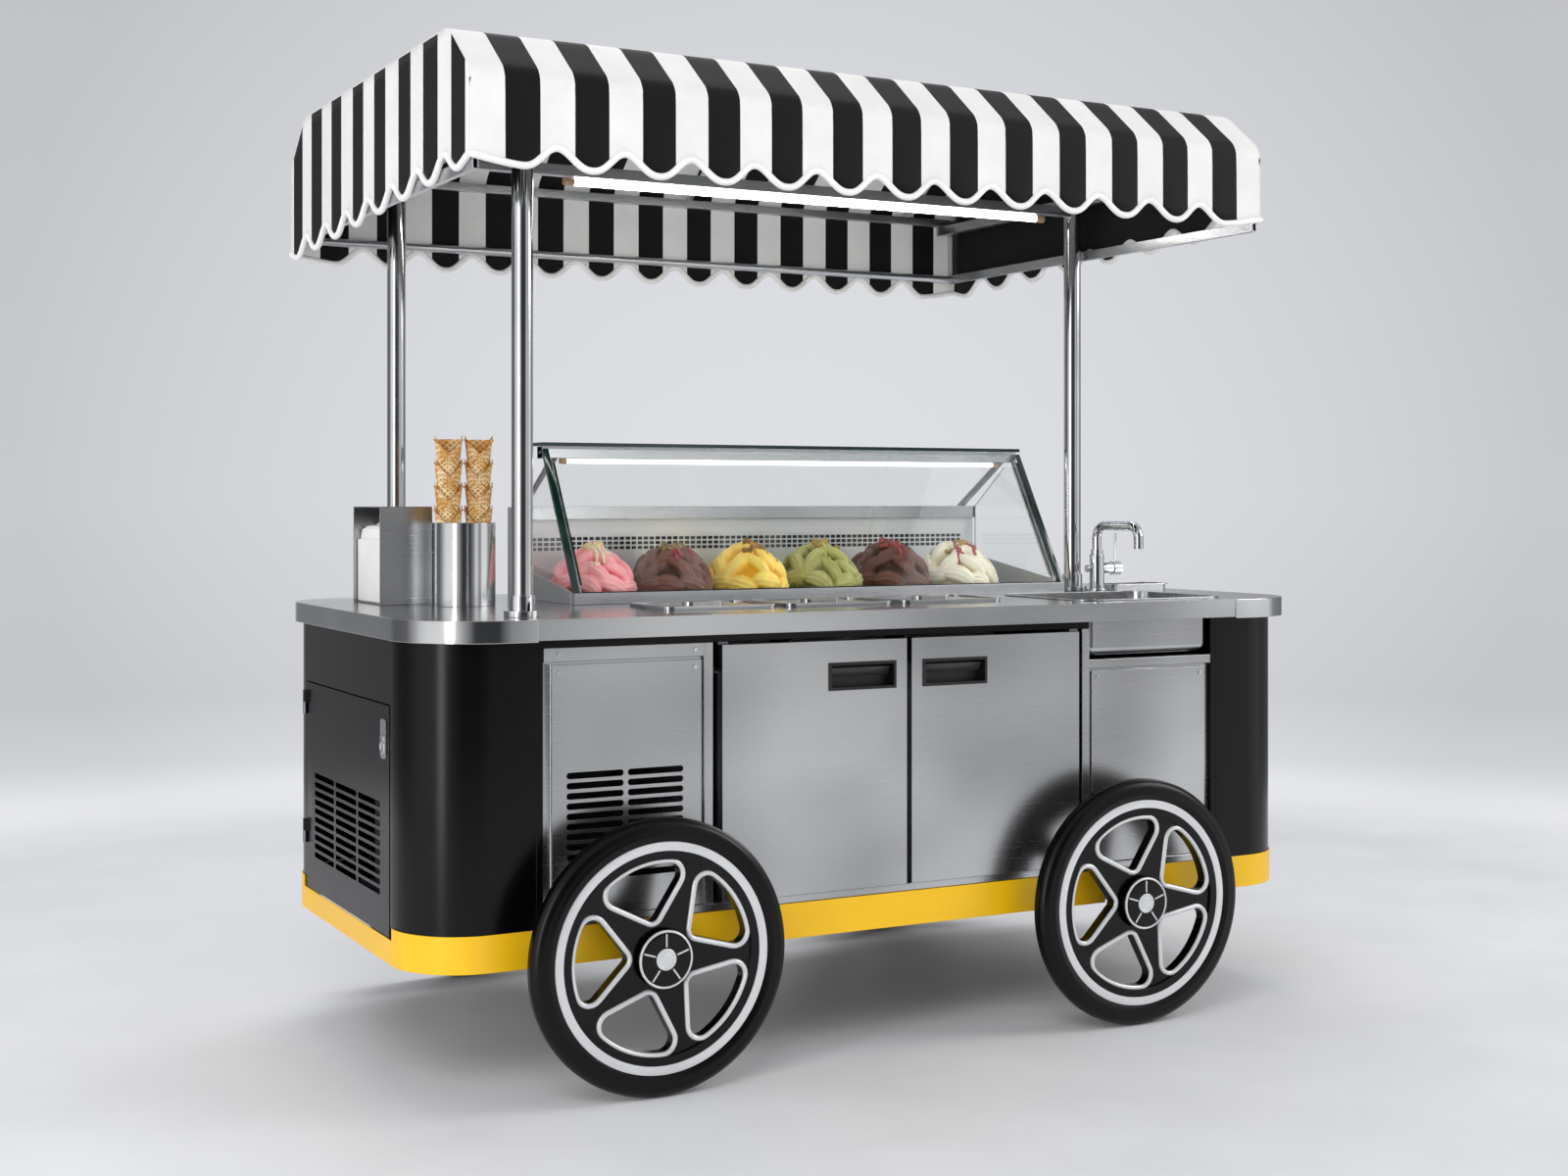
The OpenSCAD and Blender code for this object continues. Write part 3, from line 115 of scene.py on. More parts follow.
def metal(name, dark, light, rough, size, depth=0.00015):
    # Worked metal: streaks of the given size change its tone, its roughness and its face a little
    made, tree, shader = startMaterial(name, {"Metallic": 1.0})
    streaks = grain(tree, size)
    clouds = grain(tree, (0.42, 0.42, 0.34), 1.0)
    tone = addNode(tree, "Math", {"operation": "MULTIPLY_ADD", 1: 0.08}, {0: streaks, 2: clouds})
    finishSkin(tree, shader, tone.outputs["Value"], [(0.38, dark), (0.7, light)], (streaks, *rough),
               (streaks, 0.1, depth))
    return made


def coat(name, dark, light, rough, size, depth=0.0003, settings=None):
    # Paint, plastic or rubber: a skin with a slight orange peel and worn, duller patches
    made, tree, shader = startMaterial(name, settings or {})
    peel = grain(tree, [size] * 3, 2.0)
    patches = grain(tree, [size * 40] * 3, 4.0)
    finishSkin(tree, shader, patches, [(0.3, dark), (0.7, light)], (patches, *rough), (peel, 0.2, depth))
    return made


# Brushed stainless sheet of the worktop and of the doors, in a lighter copy for the worktop and a darker one
# for upright faces, painted light and shade; and polished stainless of posts and caps
brushed = (0.12, 0.0016, 0.0016)
steelLitFlat = metal("brushed_stainless_along_lit", "#bcbdbf", "#d6d7d8", (0.15, 0.21), brushed, 0.00004)
steelShadedUpright = metal("brushed_stainless_upright_shaded", "#adaeaf", "#cdcecf", (0.25, 0.275), brushed, 0.00001)
steelPolished = metal("polished_stainless", "#c6c7c9", "#dedfe0", (0.09, 0.13), (0.05, 0.05, 0.05), 0.00002)
# Satin stainless of the display's housing, blasted so that it spreads the lamp's light
steelSatin = metal("satin_blasted_stainless", "#cfd0d1", "#e0e1e2", (0.42, 0.5), (0.02, 0.02, 0.02), 0.00004)
# Deep-drawn stainless of the pans and the sink
steelDrawn = metal("drawn_stainless", "#bcbdbf", "#d4d5d6", (0.16, 0.22), (0.05, 0.05, 0.05), 0.00003)
# Chromed brass of the tap
chrome = metal("chromed_brass", "#d3d5d8", "#e3e5e7", (0.05, 0.09), (0.03, 0.03, 0.03), 0.00003)
# Satin anodised aluminium of the display's bars and of the canopy's frame
aluminium = metal("satin_aluminium", "#c6c8cb", "#d9dadc", (0.26, 0.36), (0.06, 0.002, 0.002))
# Mill-finish aluminium liner and bare axle steel
liner = metal("liner_aluminium", "#c2c5c8", "#d8dadc", (0.35, 0.5), (0.01, 0.01, 0.01))
bareSteel = metal("bare_steel", "#77797d", "#93959a", (0.3, 0.45), (0.004, 0.05, 0.004))
# Satin black powder coat of the body and semi-gloss black of the rims
blackPaint = coat("satin_black_powder_coat", "#030304", "#060607", (0.2, 0.25), 0.004, 0.00005,
                  {"Specular IOR Level": 0.24})
rimPaint = coat("semi_gloss_black_rim_paint", "#030304", "#060607", (0.16, 0.22), 0.005, 0.0001,
                {"Specular IOR Level": 0.28})
# Silver lacquer on the wheels' trim lines
wheelSilver = coat("silver_wheel_lacquer", "#d3d4d6", "#e2e3e4", (0.28, 0.36), 0.004, 0.0001,
                   {"Metallic": 0.45})
# Yellow enamel of the plinth band
yellowPaint = coat("yellow_enamel", "#f4bb0a", "#fac717", (0.30, 0.38), 0.004, 0.0001)
# Tyre rubber, black moulded plastic, grey machine paint, milk-white can plastic, soft seal
rubber = coat("tyre_rubber", "#020202", "#060606", (0.24, 0.34), 0.003, 0.0002, {"Specular IOR Level": 0.24})
blackPlastic = coat("moulded_black_plastic", "#0a0a0b", "#111112", (0.36, 0.46), 0.0015, 0.0002)
greyPaint = coat("grey_machine_paint", "#37393d", "#44474b", (0.4, 0.55), 0.004)
canPlastic = coat("milky_polyethylene", "#dde1e4", "#eceff1", (0.35, 0.5), 0.004, 0.0003,
                  {"Subsurface Weight": 0.1, "Subsurface Radius": (0.01, 0.01, 0.01)})
sealRubber = coat("door_seal_rubber", "#141416", "#1d1d20", (0.5, 0.65), 0.002)
print("plain materials made")

members = frame["record"]["behaviour"]["bodies"]
bodyOf = {node: body for body, nodes in members.items() for node in nodes}


def placed(name, data):
    # A new object in the scene
    made = bpy.data.objects.new(name, data)
    bpy.context.scene.collection.objects.link(made)
    return made


def addPiece(name, mesh, body, materials, replaced=()):
    made = placed(name, mesh)
    for material in materials:
        mesh.materials.append(material)
    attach(made, body)
    if replaced:
        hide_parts(*replaced)
    return made


def asMesh(name, bm):
    # The mesh of a bmesh that is no longer needed
    mesh = bpy.data.meshes.new(name)
    bm.to_mesh(mesh)
    bm.free()
    return mesh


def fromBmesh(name, bm, body, materials, replaced=(), crease=40):
    # A finished piece from a bmesh: smooth, with edges sharper than crease degrees kept
    mesh = asMesh(name, bm)
    mesh.shade_smooth()
    mesh.set_sharp_from_angle(angle=math.radians(crease))
    return addPiece(name, mesh, body, materials, replaced)


def toMetres(bm):
    # For a bmesh that was built in mm
    bmesh.ops.transform(bm, matrix=Matrix.Scale(mm, 4), verts=bm.verts)


def evenShading(piece):
    made = piece.modifiers.new("even_faces", "WEIGHTED_NORMAL")
    made.keep_sharp = True
    return piece


def roundEdges(bm, edges, offset, segments):
    bmesh.ops.bevel(bm, geom=edges, offset=offset, offset_type="OFFSET", segments=segments, profile=0.5,
                    affect="EDGES", clamp_overlap=True, material=-1)


def easeEdges(bm, ease, least=0.6):
    # Rounds the outward edges where two faces meet at more than least radians
    hard = [e for e in bm.edges if e.is_manifold and e.is_convex and e.calc_face_angle() > least]
    roundEdges(bm, hard, ease, 2)


def block(bm, size, middle=(0, 0, 0), unit=1.0):
    # A block measured in units of that many metres
    made = bmesh.ops.create_cube(bm, size=unit)["verts"]
    bmesh.ops.scale(bm, vec=size, verts=made)
    bmesh.ops.translate(bm, vec=[c * unit for c in middle], verts=made)
    return made


def mergedNode(node):
    # A copy of a CAD node's mesh with its seams merged and its flat faces joined
    bm = bmesh.new()
    bm.from_mesh(cadNodes[node].data)
    bmesh.ops.remove_doubles(bm, verts=bm.verts, dist=0.02 * mm)
    bmesh.ops.recalc_face_normals(bm, faces=bm.faces)
    bmesh.ops.dissolve_limit(bm, angle_limit=0.01, verts=bm.verts, edges=bm.edges)
    for face in bm.faces:
        face.material_index = 0
    return bm


def dressed(node, material, ease):
    bm = mergedNode(node)
    easeEdges(bm, ease * mm)
    return evenShading(fromBmesh(node + "_skin", bm, bodyOf[node], [material], [node], 50))


# Pieces whose form is the CAD's own, with eased edges: material, and the rounding in mm
easedPieces = {
    "plinth_band": (yellowPaint, 0.8), "corner_columns": (blackPaint, 0.6), "end_panels": (blackPaint, 0.6),
    "back_panel": (blackPaint, 0.6), "vent_panel": (steelShadedUpright, 0.8),
    "service_panel": (steelShadedUpright, 0.8), "fridge_door_left": (steelShadedUpright, 0.7),
    "fridge_door_right": (steelShadedUpright, 0.7), "door_handle_left": (blackPlastic, 0.9),
    "door_handle_right": (blackPlastic, 0.9), "end_door": (blackPaint, 0.8),
    "end_door_latch": (aluminium, 0.6), "worktop": (steelLitFlat, 0.9),
    "worktop_corner_caps": (steelPolished, 1.2), "sink_bowl": (steelDrawn, 0.7),
    "faucet_body": (chrome, 1.2), "faucet_spout": (chrome, 0.8), "faucet_lever": (chrome, 1.0),
    "topping_pans": (steelDrawn, 0.5), "topping_lid_1": (steelDrawn, 0.6),
    "topping_lid_2": (steelDrawn, 0.6), "topping_lid_3": (steelDrawn, 0.6),
    "display_frame": (aluminium, 1.2), "gelato_pans": (steelDrawn, 0.5),
    "dipper_tray": (steelDrawn, 0.6), "napkin_dispenser": (steelShadedUpright, 0.7),
    "cone_holder": (steelPolished, 0.8), "canopy_posts": (steelPolished, 1.0),
    "canopy_frame": (aluminium, 0.8), "panel_screws": (chrome, 0.5), "hinges": (bareSteel, 0.6),
}
for node, (material, ease) in easedPieces.items():
    dressed(node, material, ease)
print("eased pieces made:", len(easedPieces))

# Front frame: steel, with its outer stiles and the rail over the doors in black paint, painted shade for the
# dark gaps beside the columns and the worktop's shadow over the doors, in mm
frameShade = {"outerStile": 806, "doorHalf": 452, "doorTop": 853}
frameSkin = dressed("front_frame", steelShadedUpright, 1.2)
frameSkin.data.materials.append(blackPaint)
for face in frameSkin.data.polygons:
    out = abs(face.center.x) / mm
    up = face.center.z / mm
    if out > frameShade["outerStile"] or (out < frameShade["doorHalf"] and up > frameShade["doorTop"]):
        face.material_index = 1

# Display housing: satin, with the rail along its top brushed and toned darker as painted shade, in mm
housingRail = {"low": 1099, "front": 324}
housingSkin = dressed("display_housing", steelSatin, 0.8)
housingSkin.data.materials.append(steelShadedUpright)
for face in housingSkin.data.polygons:
    if face.center.z / mm > housingRail["low"] and face.center.y / mm < housingRail["front"]:
        face.material_index = 1

# Pieces inside the body keep the CAD's mesh and take their finish
innerFinish = {
    "axle_shafts": bareSteel, "chassis_frame": blackPaint, "cold_cabinet": liner,
    "condensing_unit": greyPaint, "condenser_fan": liner, "water_cans": canPlastic,
    "door_liner_left": sealRubber, "door_liner_right": sealRubber,
}
for node, material in innerFinish.items():
    mesh = cadNodes[node].data
    mesh.materials.clear()
    mesh.materials.append(material)
print("inner pieces finished:", len(innerFinish))


def cloth(name, dark, light, settings=None):
    # Woven acrylic canvas: ribs 4.7 mm apart in two directions, a soft tone change and a dull face
    made, tree, shader = startMaterial(name, {"Roughness": 0.72, "Sheen Weight": 0.15, **(settings or {})})
    where = addNode(tree, "TexCoord")
    threads = []
    for turn in ("X", "Z"):
        wave = addNode(tree, "TexWave", {"Scale": waveGap / 0.0047374, "Distortion": 0.6, "Detail": 1.0,
                                         "bands_direction": turn}, {"Vector": where.outputs["Object"]})
        threads.append(wave.outputs["Fac"])
    weave = addNode(tree, "Math", {"operation": "ADD"}, {0: threads[0], 1: threads[1]})
    tone = grain(tree, (0.12, 0.12, 0.12), 4.0)
    finishSkin(tree, shader, tone, [(0.3, dark), (0.7, light)], None, (weave.outputs["Value"], 0.2, 0.0004))
    return made


whiteCloth = cloth("white_awning_canvas", "#e6e6e4", "#f1f1ef")
blackCloth = cloth("black_awning_canvas", "#030304", "#070708",
                   {"Sheen Weight": 0.03, "Specular IOR Level": 0.3})
ropeCotton = cloth("white_cotton_piping", "#f0f0ee", "#fafaf8")

# Canopy: one sheet carried over the roof from hem to hem, with its two sewn ends, in metres
canopy = {
    "x": (-1.023, 0.824), "depth": 0.626, "topDepth": 0.509, "top": 2.0235, "bend": 1.929,
    "hems": (1.757, 1.707), "lobe": 0.038, "stripes": 27, "perStripe": 8, "soften": 0.022, "row": 0.028,
    "sag": 0.006, "sagFrom": 0.3, "flare": 0.004, "endLobes": 8, "perLobe": 16, "endRows": 12,
    "endMargin": 0.015, "endDepth": 0.6235, "endGap": 0.001, "thick": 0.0016, "rope": 0.0068,
    "cornerRise": 0.4, "liningGap": 0.005, "liningInset": 0.004,
}
stripeWidth = (canopy["x"][1] - canopy["x"][0]) / canopy["stripes"]
endPitch = 2 * (canopy["endDepth"] - canopy["endMargin"]) / (canopy["endLobes"] - 0.5)
columns = canopy["stripes"] * canopy["perStripe"]
endColumns = canopy["endLobes"] * canopy["perLobe"]


def scallop(place, count, endSpan):
    # Rise of the hem, 0 under the middle of a black stripe and 1 under a white one
    if 0 <= place <= count - 1:
        return ((1 - math.cos(2 * math.pi * place)) / 2) ** 1.25
    over = -place if place < 0 else place - count + 1
    return canopy["cornerRise"] * min(over / endSpan, 1.0) ** 1.3


def longRise(x):
    return scallop(((x - canopy["x"][0]) / stripeWidth - 1.5) / 2, (canopy["stripes"] - 1) // 2, 0.75)


def endRise(y):
    margin = canopy["endMargin"] + endPitch / 4
    return scallop((y + canopy["endDepth"] - margin) / endPitch, canopy["endLobes"], margin / endPitch)


def endHem(y):
    mix = (y + canopy["endDepth"]) / (2 * canopy["endDepth"])
    return canopy["hems"][0] * (1 - mix) + canopy["hems"][1] * mix + canopy["lobe"] * endRise(y)


def longHem(side, x):
    # Point of the front (-1) or back (1) hem at x
    hem = canopy["hems"][0 if side < 0 else 1]
    out = canopy["depth"] + canopy["flare"] * (0.5 - longRise(x))
    return Vector((x, side * out, hem + canopy["lobe"] * longRise(x)))


bm = bmesh.new()
frontHalf = [(-canopy["depth"], canopy["bend"]), (-canopy["topDepth"], canopy["top"])]
backHalf = [(-y, z) for y, z in reversed(frontHalf)]
feet = [(side * canopy["depth"], hem) for side, hem in zip((-1, 1), canopy["hems"])]
corners = feet[:1] + frontHalf + backHalf + feet[1:]
chain = [bm.verts.new((canopy["x"][0], y, z)) for y, z in corners]
for a, b in zip(chain, chain[1:]):
    bm.edges.new((a, b))
bmesh.ops.bevel(bm, geom=chain[1:-1], offset=canopy["soften"], offset_type="OFFSET", segments=5, profile=0.5,
                affect="VERTICES", clamp_overlap=True, material=-1)
for edge in list(bm.edges):
    cuts = int(edge.calc_length() / canopy["row"])
    if cuts:
        bmesh.ops.subdivide_edges(bm, edges=[edge], cuts=cuts)
roofLine = sorted((v.co.y, v.co.z) for v in bm.verts if v.co.z > canopy["bend"] - canopy["soften"])
row = list(bm.edges)
stride = stripeWidth / canopy["perStripe"]
for column in range(columns):
    grown = bmesh.ops.extrude_edge_only(bm, edges=row)["geom"]
    fresh = {g for g in grown if isinstance(g, bmesh.types.BMVert)}
    bmesh.ops.translate(bm, verts=list(fresh), vec=(stride, 0, 0))
    row = [e for e in bm.edges if e.verts[0] in fresh and e.verts[1] in fresh]
for face in bm.faces:
    stripe = int((face.calc_center_median().x - canopy["x"][0]) / stripeWidth)
    face.material_index = stripe % 2
for v in bm.verts:
    side = -1 if v.co.y < 0 else 1
    hem = canopy["hems"][0 if side < 0 else 1]
    drop = (canopy["bend"] - v.co.z) / (canopy["bend"] - hem)
    if drop > 0 and abs(v.co.y) > canopy["depth"] - 0.004:
        v.co.y += side * canopy["flare"] * (0.5 - longRise(v.co.x)) * drop
        v.co.z += canopy["lobe"] * longRise(v.co.x) * drop
    elif abs(v.co.y) < canopy["topDepth"]:
        fromEnds = (v.co.x - canopy["x"][0], canopy["x"][1] - v.co.x)
        hold = min(1.0, *(far / canopy["sagFrom"] for far in fromEnds))
        across = (1 - (v.co.y / canopy["topDepth"]) ** 2) ** 2
        v.co.z -= canopy["sag"] * hold ** 2 * (3 - 2 * hold) * across


def roofAt(y):
    for (y0, z0), (y1, z1) in zip(roofLine, roofLine[1:]):
        if y0 <= y <= y1 and y1 > y0:
            return z0 + (z1 - z0) * (y - y0) / (y1 - y0)
    return canopy["bend"]


def endCloth(x, striped, inset):
    # One canopy end: a grid whose foot is the scalloped hem and whose head is the roof's own line
    made = bmesh.new()
    bmesh.ops.create_grid(made, x_segments=endColumns, y_segments=canopy["endRows"], size=1.0)
    for v in made.verts:
        y = v.co.x * (canopy["endDepth"] - inset)
        foot = endHem(y) + inset
        v.co = (x, y, foot + (roofAt(y) - inset - canopy["endGap"] - foot) * (v.co.y + 1) / 2)
    for face in made.faces:
        place = (face.calc_center_median().y + canopy["endDepth"] - canopy["endMargin"]) / (endPitch / 2)
        face.material_index = 1 if not striped or (place >= 0 and int(place) % 2 == 0) else 0
    return asMesh("canopy_end", made)


for x in canopy["x"]:
    bm.from_mesh(endCloth(x + math.copysign(canopy["endGap"], -x), True, 0.0))
cut = sum(f.calc_area() for f in bm.faces)
roof = fromBmesh("canopy_cloth_sheet", bm, "cart", [whiteCloth, blackCloth], ["canopy"], 60)
thickness = roof.modifiers.new("thickness", "SOLIDIFY")
thickness.thickness = canopy["thick"]
thickness.offset = 0

# Cotton piping sewn round the hem, swept along the hem's own points
hemLoop = [longHem(-1, canopy["x"][0] + stride * i) for i in range(columns + 1)]
across = [canopy["endDepth"] * (2 * i / endColumns - 1) for i in range(endColumns + 1)]
ends = [[Vector((x, y, endHem(y))) for y in across] for x in canopy["x"]]
back = [longHem(1, v.x) for v in hemLoop]
hemLoop = hemLoop + ends[1][1:-1] + back[::-1] + ends[0][::-1][1:-1]


def sweep(name, points, radius, closed, sides=3):
    # Round tube along a row of points, as a mesh
    line = bpy.data.curves.new(name, "CURVE")
    line.dimensions = "3D"
    line.bevel_depth = radius
    line.bevel_resolution = sides
    line.use_fill_caps = not closed
    path = line.splines.new("POLY")
    path.points.add(len(points) - 1)
    for spot, p in zip(path.points, points):
        spot.co = (p[0], p[1], p[2], 1)
    path.use_cyclic_u = closed
    holder = bpy.data.objects.new(name, line)
    mesh = bpy.data.meshes.new_from_object(holder)
    bpy.data.objects.remove(holder)
    mesh.name = name
    mesh.shade_smooth()
    return mesh


rope = sweep("canopy_hem_piping", hemLoop, canopy["rope"], True)
piping = addPiece("canopy_hem_piping", rope, "cart", [ropeCotton])

# Black linings inside both ends and under the roof, in metres
ceiling = {"middle": -0.0995, "half": (0.895, 0.46), "height": 1.9935, "sag": 0.006, "cells": (30, 16)}
for x, name in zip(canopy["x"], ("left", "right")):
    mesh = endCloth(x + math.copysign(canopy["liningGap"], -x), False, canopy["liningInset"])
    addPiece("canopy_lining_" + name, mesh, "cart", [blackCloth, blackCloth])
bm = bmesh.new()
bmesh.ops.create_grid(bm, x_segments=ceiling["cells"][0], y_segments=ceiling["cells"][1], size=1.0)
for v in bm.verts:
    v.co = (ceiling["middle"] + v.co.x * ceiling["half"][0], v.co.y * ceiling["half"][1],
            ceiling["height"] - ceiling["sag"] * (1 - v.co.y ** 2))
ceilingArea = sum(f.calc_area() for f in bm.faces)
fromBmesh("canopy_ceiling_lining", bm, "cart", [blackCloth], (), 60)
print("canopy made, cloth area", round(cut, 3))


def turned(bm, profile, closed, steps, unit=mm):
    # Full turn of a profile of (radius, along) points, in units of that many metres, about the local z axis
    verts = [bm.verts.new((r * unit, 0, a * unit)) for r, a in profile]
    after = verts[1:] + verts[:1] if closed else verts[1:]
    edges = [bm.edges.new(pair) for pair in zip(verts, after)]
    bmesh.ops.spin(bm, geom=verts + edges, cent=(0, 0, 0), axis=(0, 0, 1), dvec=(0, 0, 0),
                   angle=2 * math.pi, steps=steps, use_merge=True, use_duplicate=False)


def settle(bm, place=None):
    bmesh.ops.remove_doubles(bm, verts=bm.verts, dist=0.01 * mm)
    bmesh.ops.recalc_face_normals(bm, faces=bm.faces)
    if place:
        bmesh.ops.transform(bm, matrix=place, verts=bm.verts)


# Wheels, in mm from the wheel's middle: radius, then distance along the axle to the outside
wheel = {
    "places": {"fl": (-616, -1, "wheel_front_left"), "fr": (533, -1, "wheel_front_right"),
               "bl": (-616, 1, "wheel_back_left"), "br": (533, 1, "wheel_back_right")},
    "height": 268, "track": 561, "spokes": 5, "windowTurn": 33, "windowRadius": 181, "tipAt": 88,
    "tipRadius": 14, "cornerRadius": 22, "spokeWidth": 40, "webFace": 13, "trim": 5.2, "steps": 128,
    "rimEase": 2.0,
    "cap": [(0, 31.0), (46, 31.0), (52, 30.6), (55.2, 28.6), (56.8, 25.5), (57, 22.4), (0, 22.4)],
    "capRing": [(51.4, 29.6), (51.8, 31.6), (53.6, 32.2), (55.4, 31.4), (56.4, 29.2), (55.4, 28.4)],
    "capBoss": [(0, 32.2), (11.5, 32.2), (12.5, 31.4), (14.5, 31.4), (15.5, 32.2), (19, 32.2), (20.6, 31.6),
                (21.4, 30.2), (0, 30.2)],
    "capSteps": 64, "bossSteps": 48, "lineAt": (24, 49), "lineWidth": 3.2, "lineThick": 1.8,
    "lineHeight": 31.2, "lineTurn": 90, "lineEase": 0.4,
    "ring": [(205.6, 18.6), (206.2, 19.9), (209, 20.6), (220.5, 20.6), (223, 19.9), (223.6, 18.6)],
    "tyreHalf": [(224.2, 17), (225, 20.5), (229, 22.6), (233, 23.2), (234.5, 24), (238.5, 24), (240, 23.4),
                 (248, 23.6), (255, 22), (260.5, 18.8), (264.4, 14.4), (266.6, 10.4), (267.4, 8.6),
                 (265, 8.2), (265, 6.4), (267.7, 6.0), (268, 2.0), (267.9, 1.2), (265.6, 0.8)],
}
tyreProfile = wheel["tyreHalf"] + [(r, -a) for r, a in reversed(wheel["tyreHalf"])]


def windowLine(swell):
    # Middle line of a window's trim, swell mm outside the cut: four arcs joined by straight sides
    reach = wheel["windowRadius"] - wheel["cornerRadius"]
    half = math.pi / wheel["spokes"] - math.asin((wheel["spokeWidth"] / 2 + wheel["cornerRadius"]) / reach)
    corner = Vector((reach * math.cos(half), reach * math.sin(half)))
    tip = Vector((wheel["tipAt"], 0))
    along = (corner - tip).normalized()
    lean = (wheel["cornerRadius"] - wheel["tipRadius"]) / (corner - tip).length
    out = math.sqrt(1 - lean * lean) * Vector((-along.y, along.x)) - lean * along
    side = math.atan2(out.y, out.x)
    low = Vector((corner.x, -corner.y))
    arcs = [(Vector((0, 0)), wheel["windowRadius"], -half, half, 14),
            (corner, wheel["cornerRadius"], half, side, 8),
            (tip, wheel["tipRadius"], side, 2 * math.pi - side, 10),
            (low, wheel["cornerRadius"], 2 * math.pi - side, 2 * math.pi - half, 8)]
    points = []
    for middle, radius, start, end, count in arcs:
        for i in range(count):
            turn = start + (end - start) * i / (count - 1)
            points.append(middle + (radius + swell) * Vector((math.cos(turn), math.sin(turn))))
    return points


def wheelPlace(axle, side):
    swap = Matrix(((1, 0, 0, 0), (0, 0, side, 0), (0, -side, 0, 0), (0, 0, 0, 1)))
    return Matrix.Translation((axle * mm, side * wheel["track"] * mm, wheel["height"] * mm)) @ swap


for name, (axle, side, body) in wheel["places"].items():
    place = wheelPlace(axle, side)
    bm = bmesh.new()
    turned(bm, tyreProfile, True, wheel["steps"])
    settle(bm, place)
    fromBmesh("tyre_tread_" + name, bm, body, [rubber], ["tyre_" + name], 48)
    dressed("wheel_rim_" + name, rimPaint, wheel["rimEase"])
    bm = bmesh.new()
    turned(bm, wheel["ring"], True, wheel["steps"])
    for k in range(wheel["spokes"]):
        spin = math.radians(wheel["windowTurn"] + 360 / wheel["spokes"] * k)
        loop = []
        for p in windowLine(wheel["trim"]):
            p = Matrix.Rotation(spin, 2) @ p
            loop.append((p.x * mm, p.y * mm, wheel["webFace"] * mm))
        bm.from_mesh(sweep("rim_trim", loop, wheel["trim"] * mm, True))
    settle(bm, place)
    fromBmesh("wheel_trim_" + name, bm, body, [wheelSilver], (), 40)
    bm = bmesh.new()
    turned(bm, wheel["cap"], False, wheel["capSteps"])
    settle(bm, place)
    fromBmesh("hub_cap_face_" + name, bm, body, [rimPaint], ["hub_cap_" + name], 40)
    bm = bmesh.new()
    turned(bm, wheel["capRing"], True, wheel["capSteps"])
    turned(bm, wheel["capBoss"], False, wheel["bossSteps"])
    start, end = wheel["lineAt"]
    for k in range(wheel["spokes"]):
        spin = Matrix.Rotation(math.radians(wheel["lineTurn"] + 360 / wheel["spokes"] * k), 4, "Z")
        size = (end - start, wheel["lineWidth"], wheel["lineThick"])
        bar = block(bm, size, ((start + end) / 2, 0, wheel["lineHeight"]), mm)
        bmesh.ops.transform(bm, matrix=spin, verts=bar)
    settle(bm)
    easeEdges(bm, wheel["lineEase"] * mm)
    bmesh.ops.transform(bm, matrix=place, verts=bm.verts)
    fromBmesh("hub_cap_trim_" + name, bm, body, [wheelSilver], (), 40)
print("wheels made")


def gelatoFinish(name, tones):
    # Churned gelato: soft streaks between three tones, lighter on the raised tongues and darker in the
    # creases as painted shade, moist and slightly see-through at the skin
    skin = {"Subsurface Weight": 0.05, "Subsurface Radius": (0.006, 0.004, 0.003), "Coat Weight": 0.12,
            "Coat Roughness": 0.35}
    made, tree, shader = startMaterial(name, skin)
    where = addNode(tree, "TexCoord")
    swirl = addNode(tree, "TexNoise",
                    {"Scale": 24.0, "Detail": 5.0, "Roughness": 0.6, "Distortion": 1.4},
                    {"Vector": where.outputs["Object"]})
    crumb = grain(tree, (0.003, 0.003, 0.003), 2.0)
    # Painted shade: the tone rises with each point's lift, so the creases between tongues are darker
    crown = addNode(tree, "Attribute", {"attribute_name": "crown"})
    tone = addNode(tree, "Math", {"operation": "MULTIPLY_ADD", 1: 0.4},
                   {0: swirl.outputs["Fac"], 2: crown.outputs["Fac"]})
    finishSkin(tree, shader, tone.outputs["Value"], [(0.3, tones[0]), (0.7, tones[1]), (1.0, tones[2])],
               (swirl.outputs["Fac"], 0.42, 0.6), (crumb, 0.35, 0.0006))
    return made


def sauceFinish(name, dark, light):
    # Fruit sauce, caramel and nuts: wet or oily, darker in the hollows
    made, tree, shader = startMaterial(name, {"Coat Weight": 0.5, "Coat Roughness": 0.1})
    blots = grain(tree, (0.006, 0.006, 0.006), 3.0)
    finishSkin(tree, shader, blots, [(0.3, dark), (0.7, light)], (blots, 0.25, 0.45), (blots, 0.4, 0.0008))
    return made


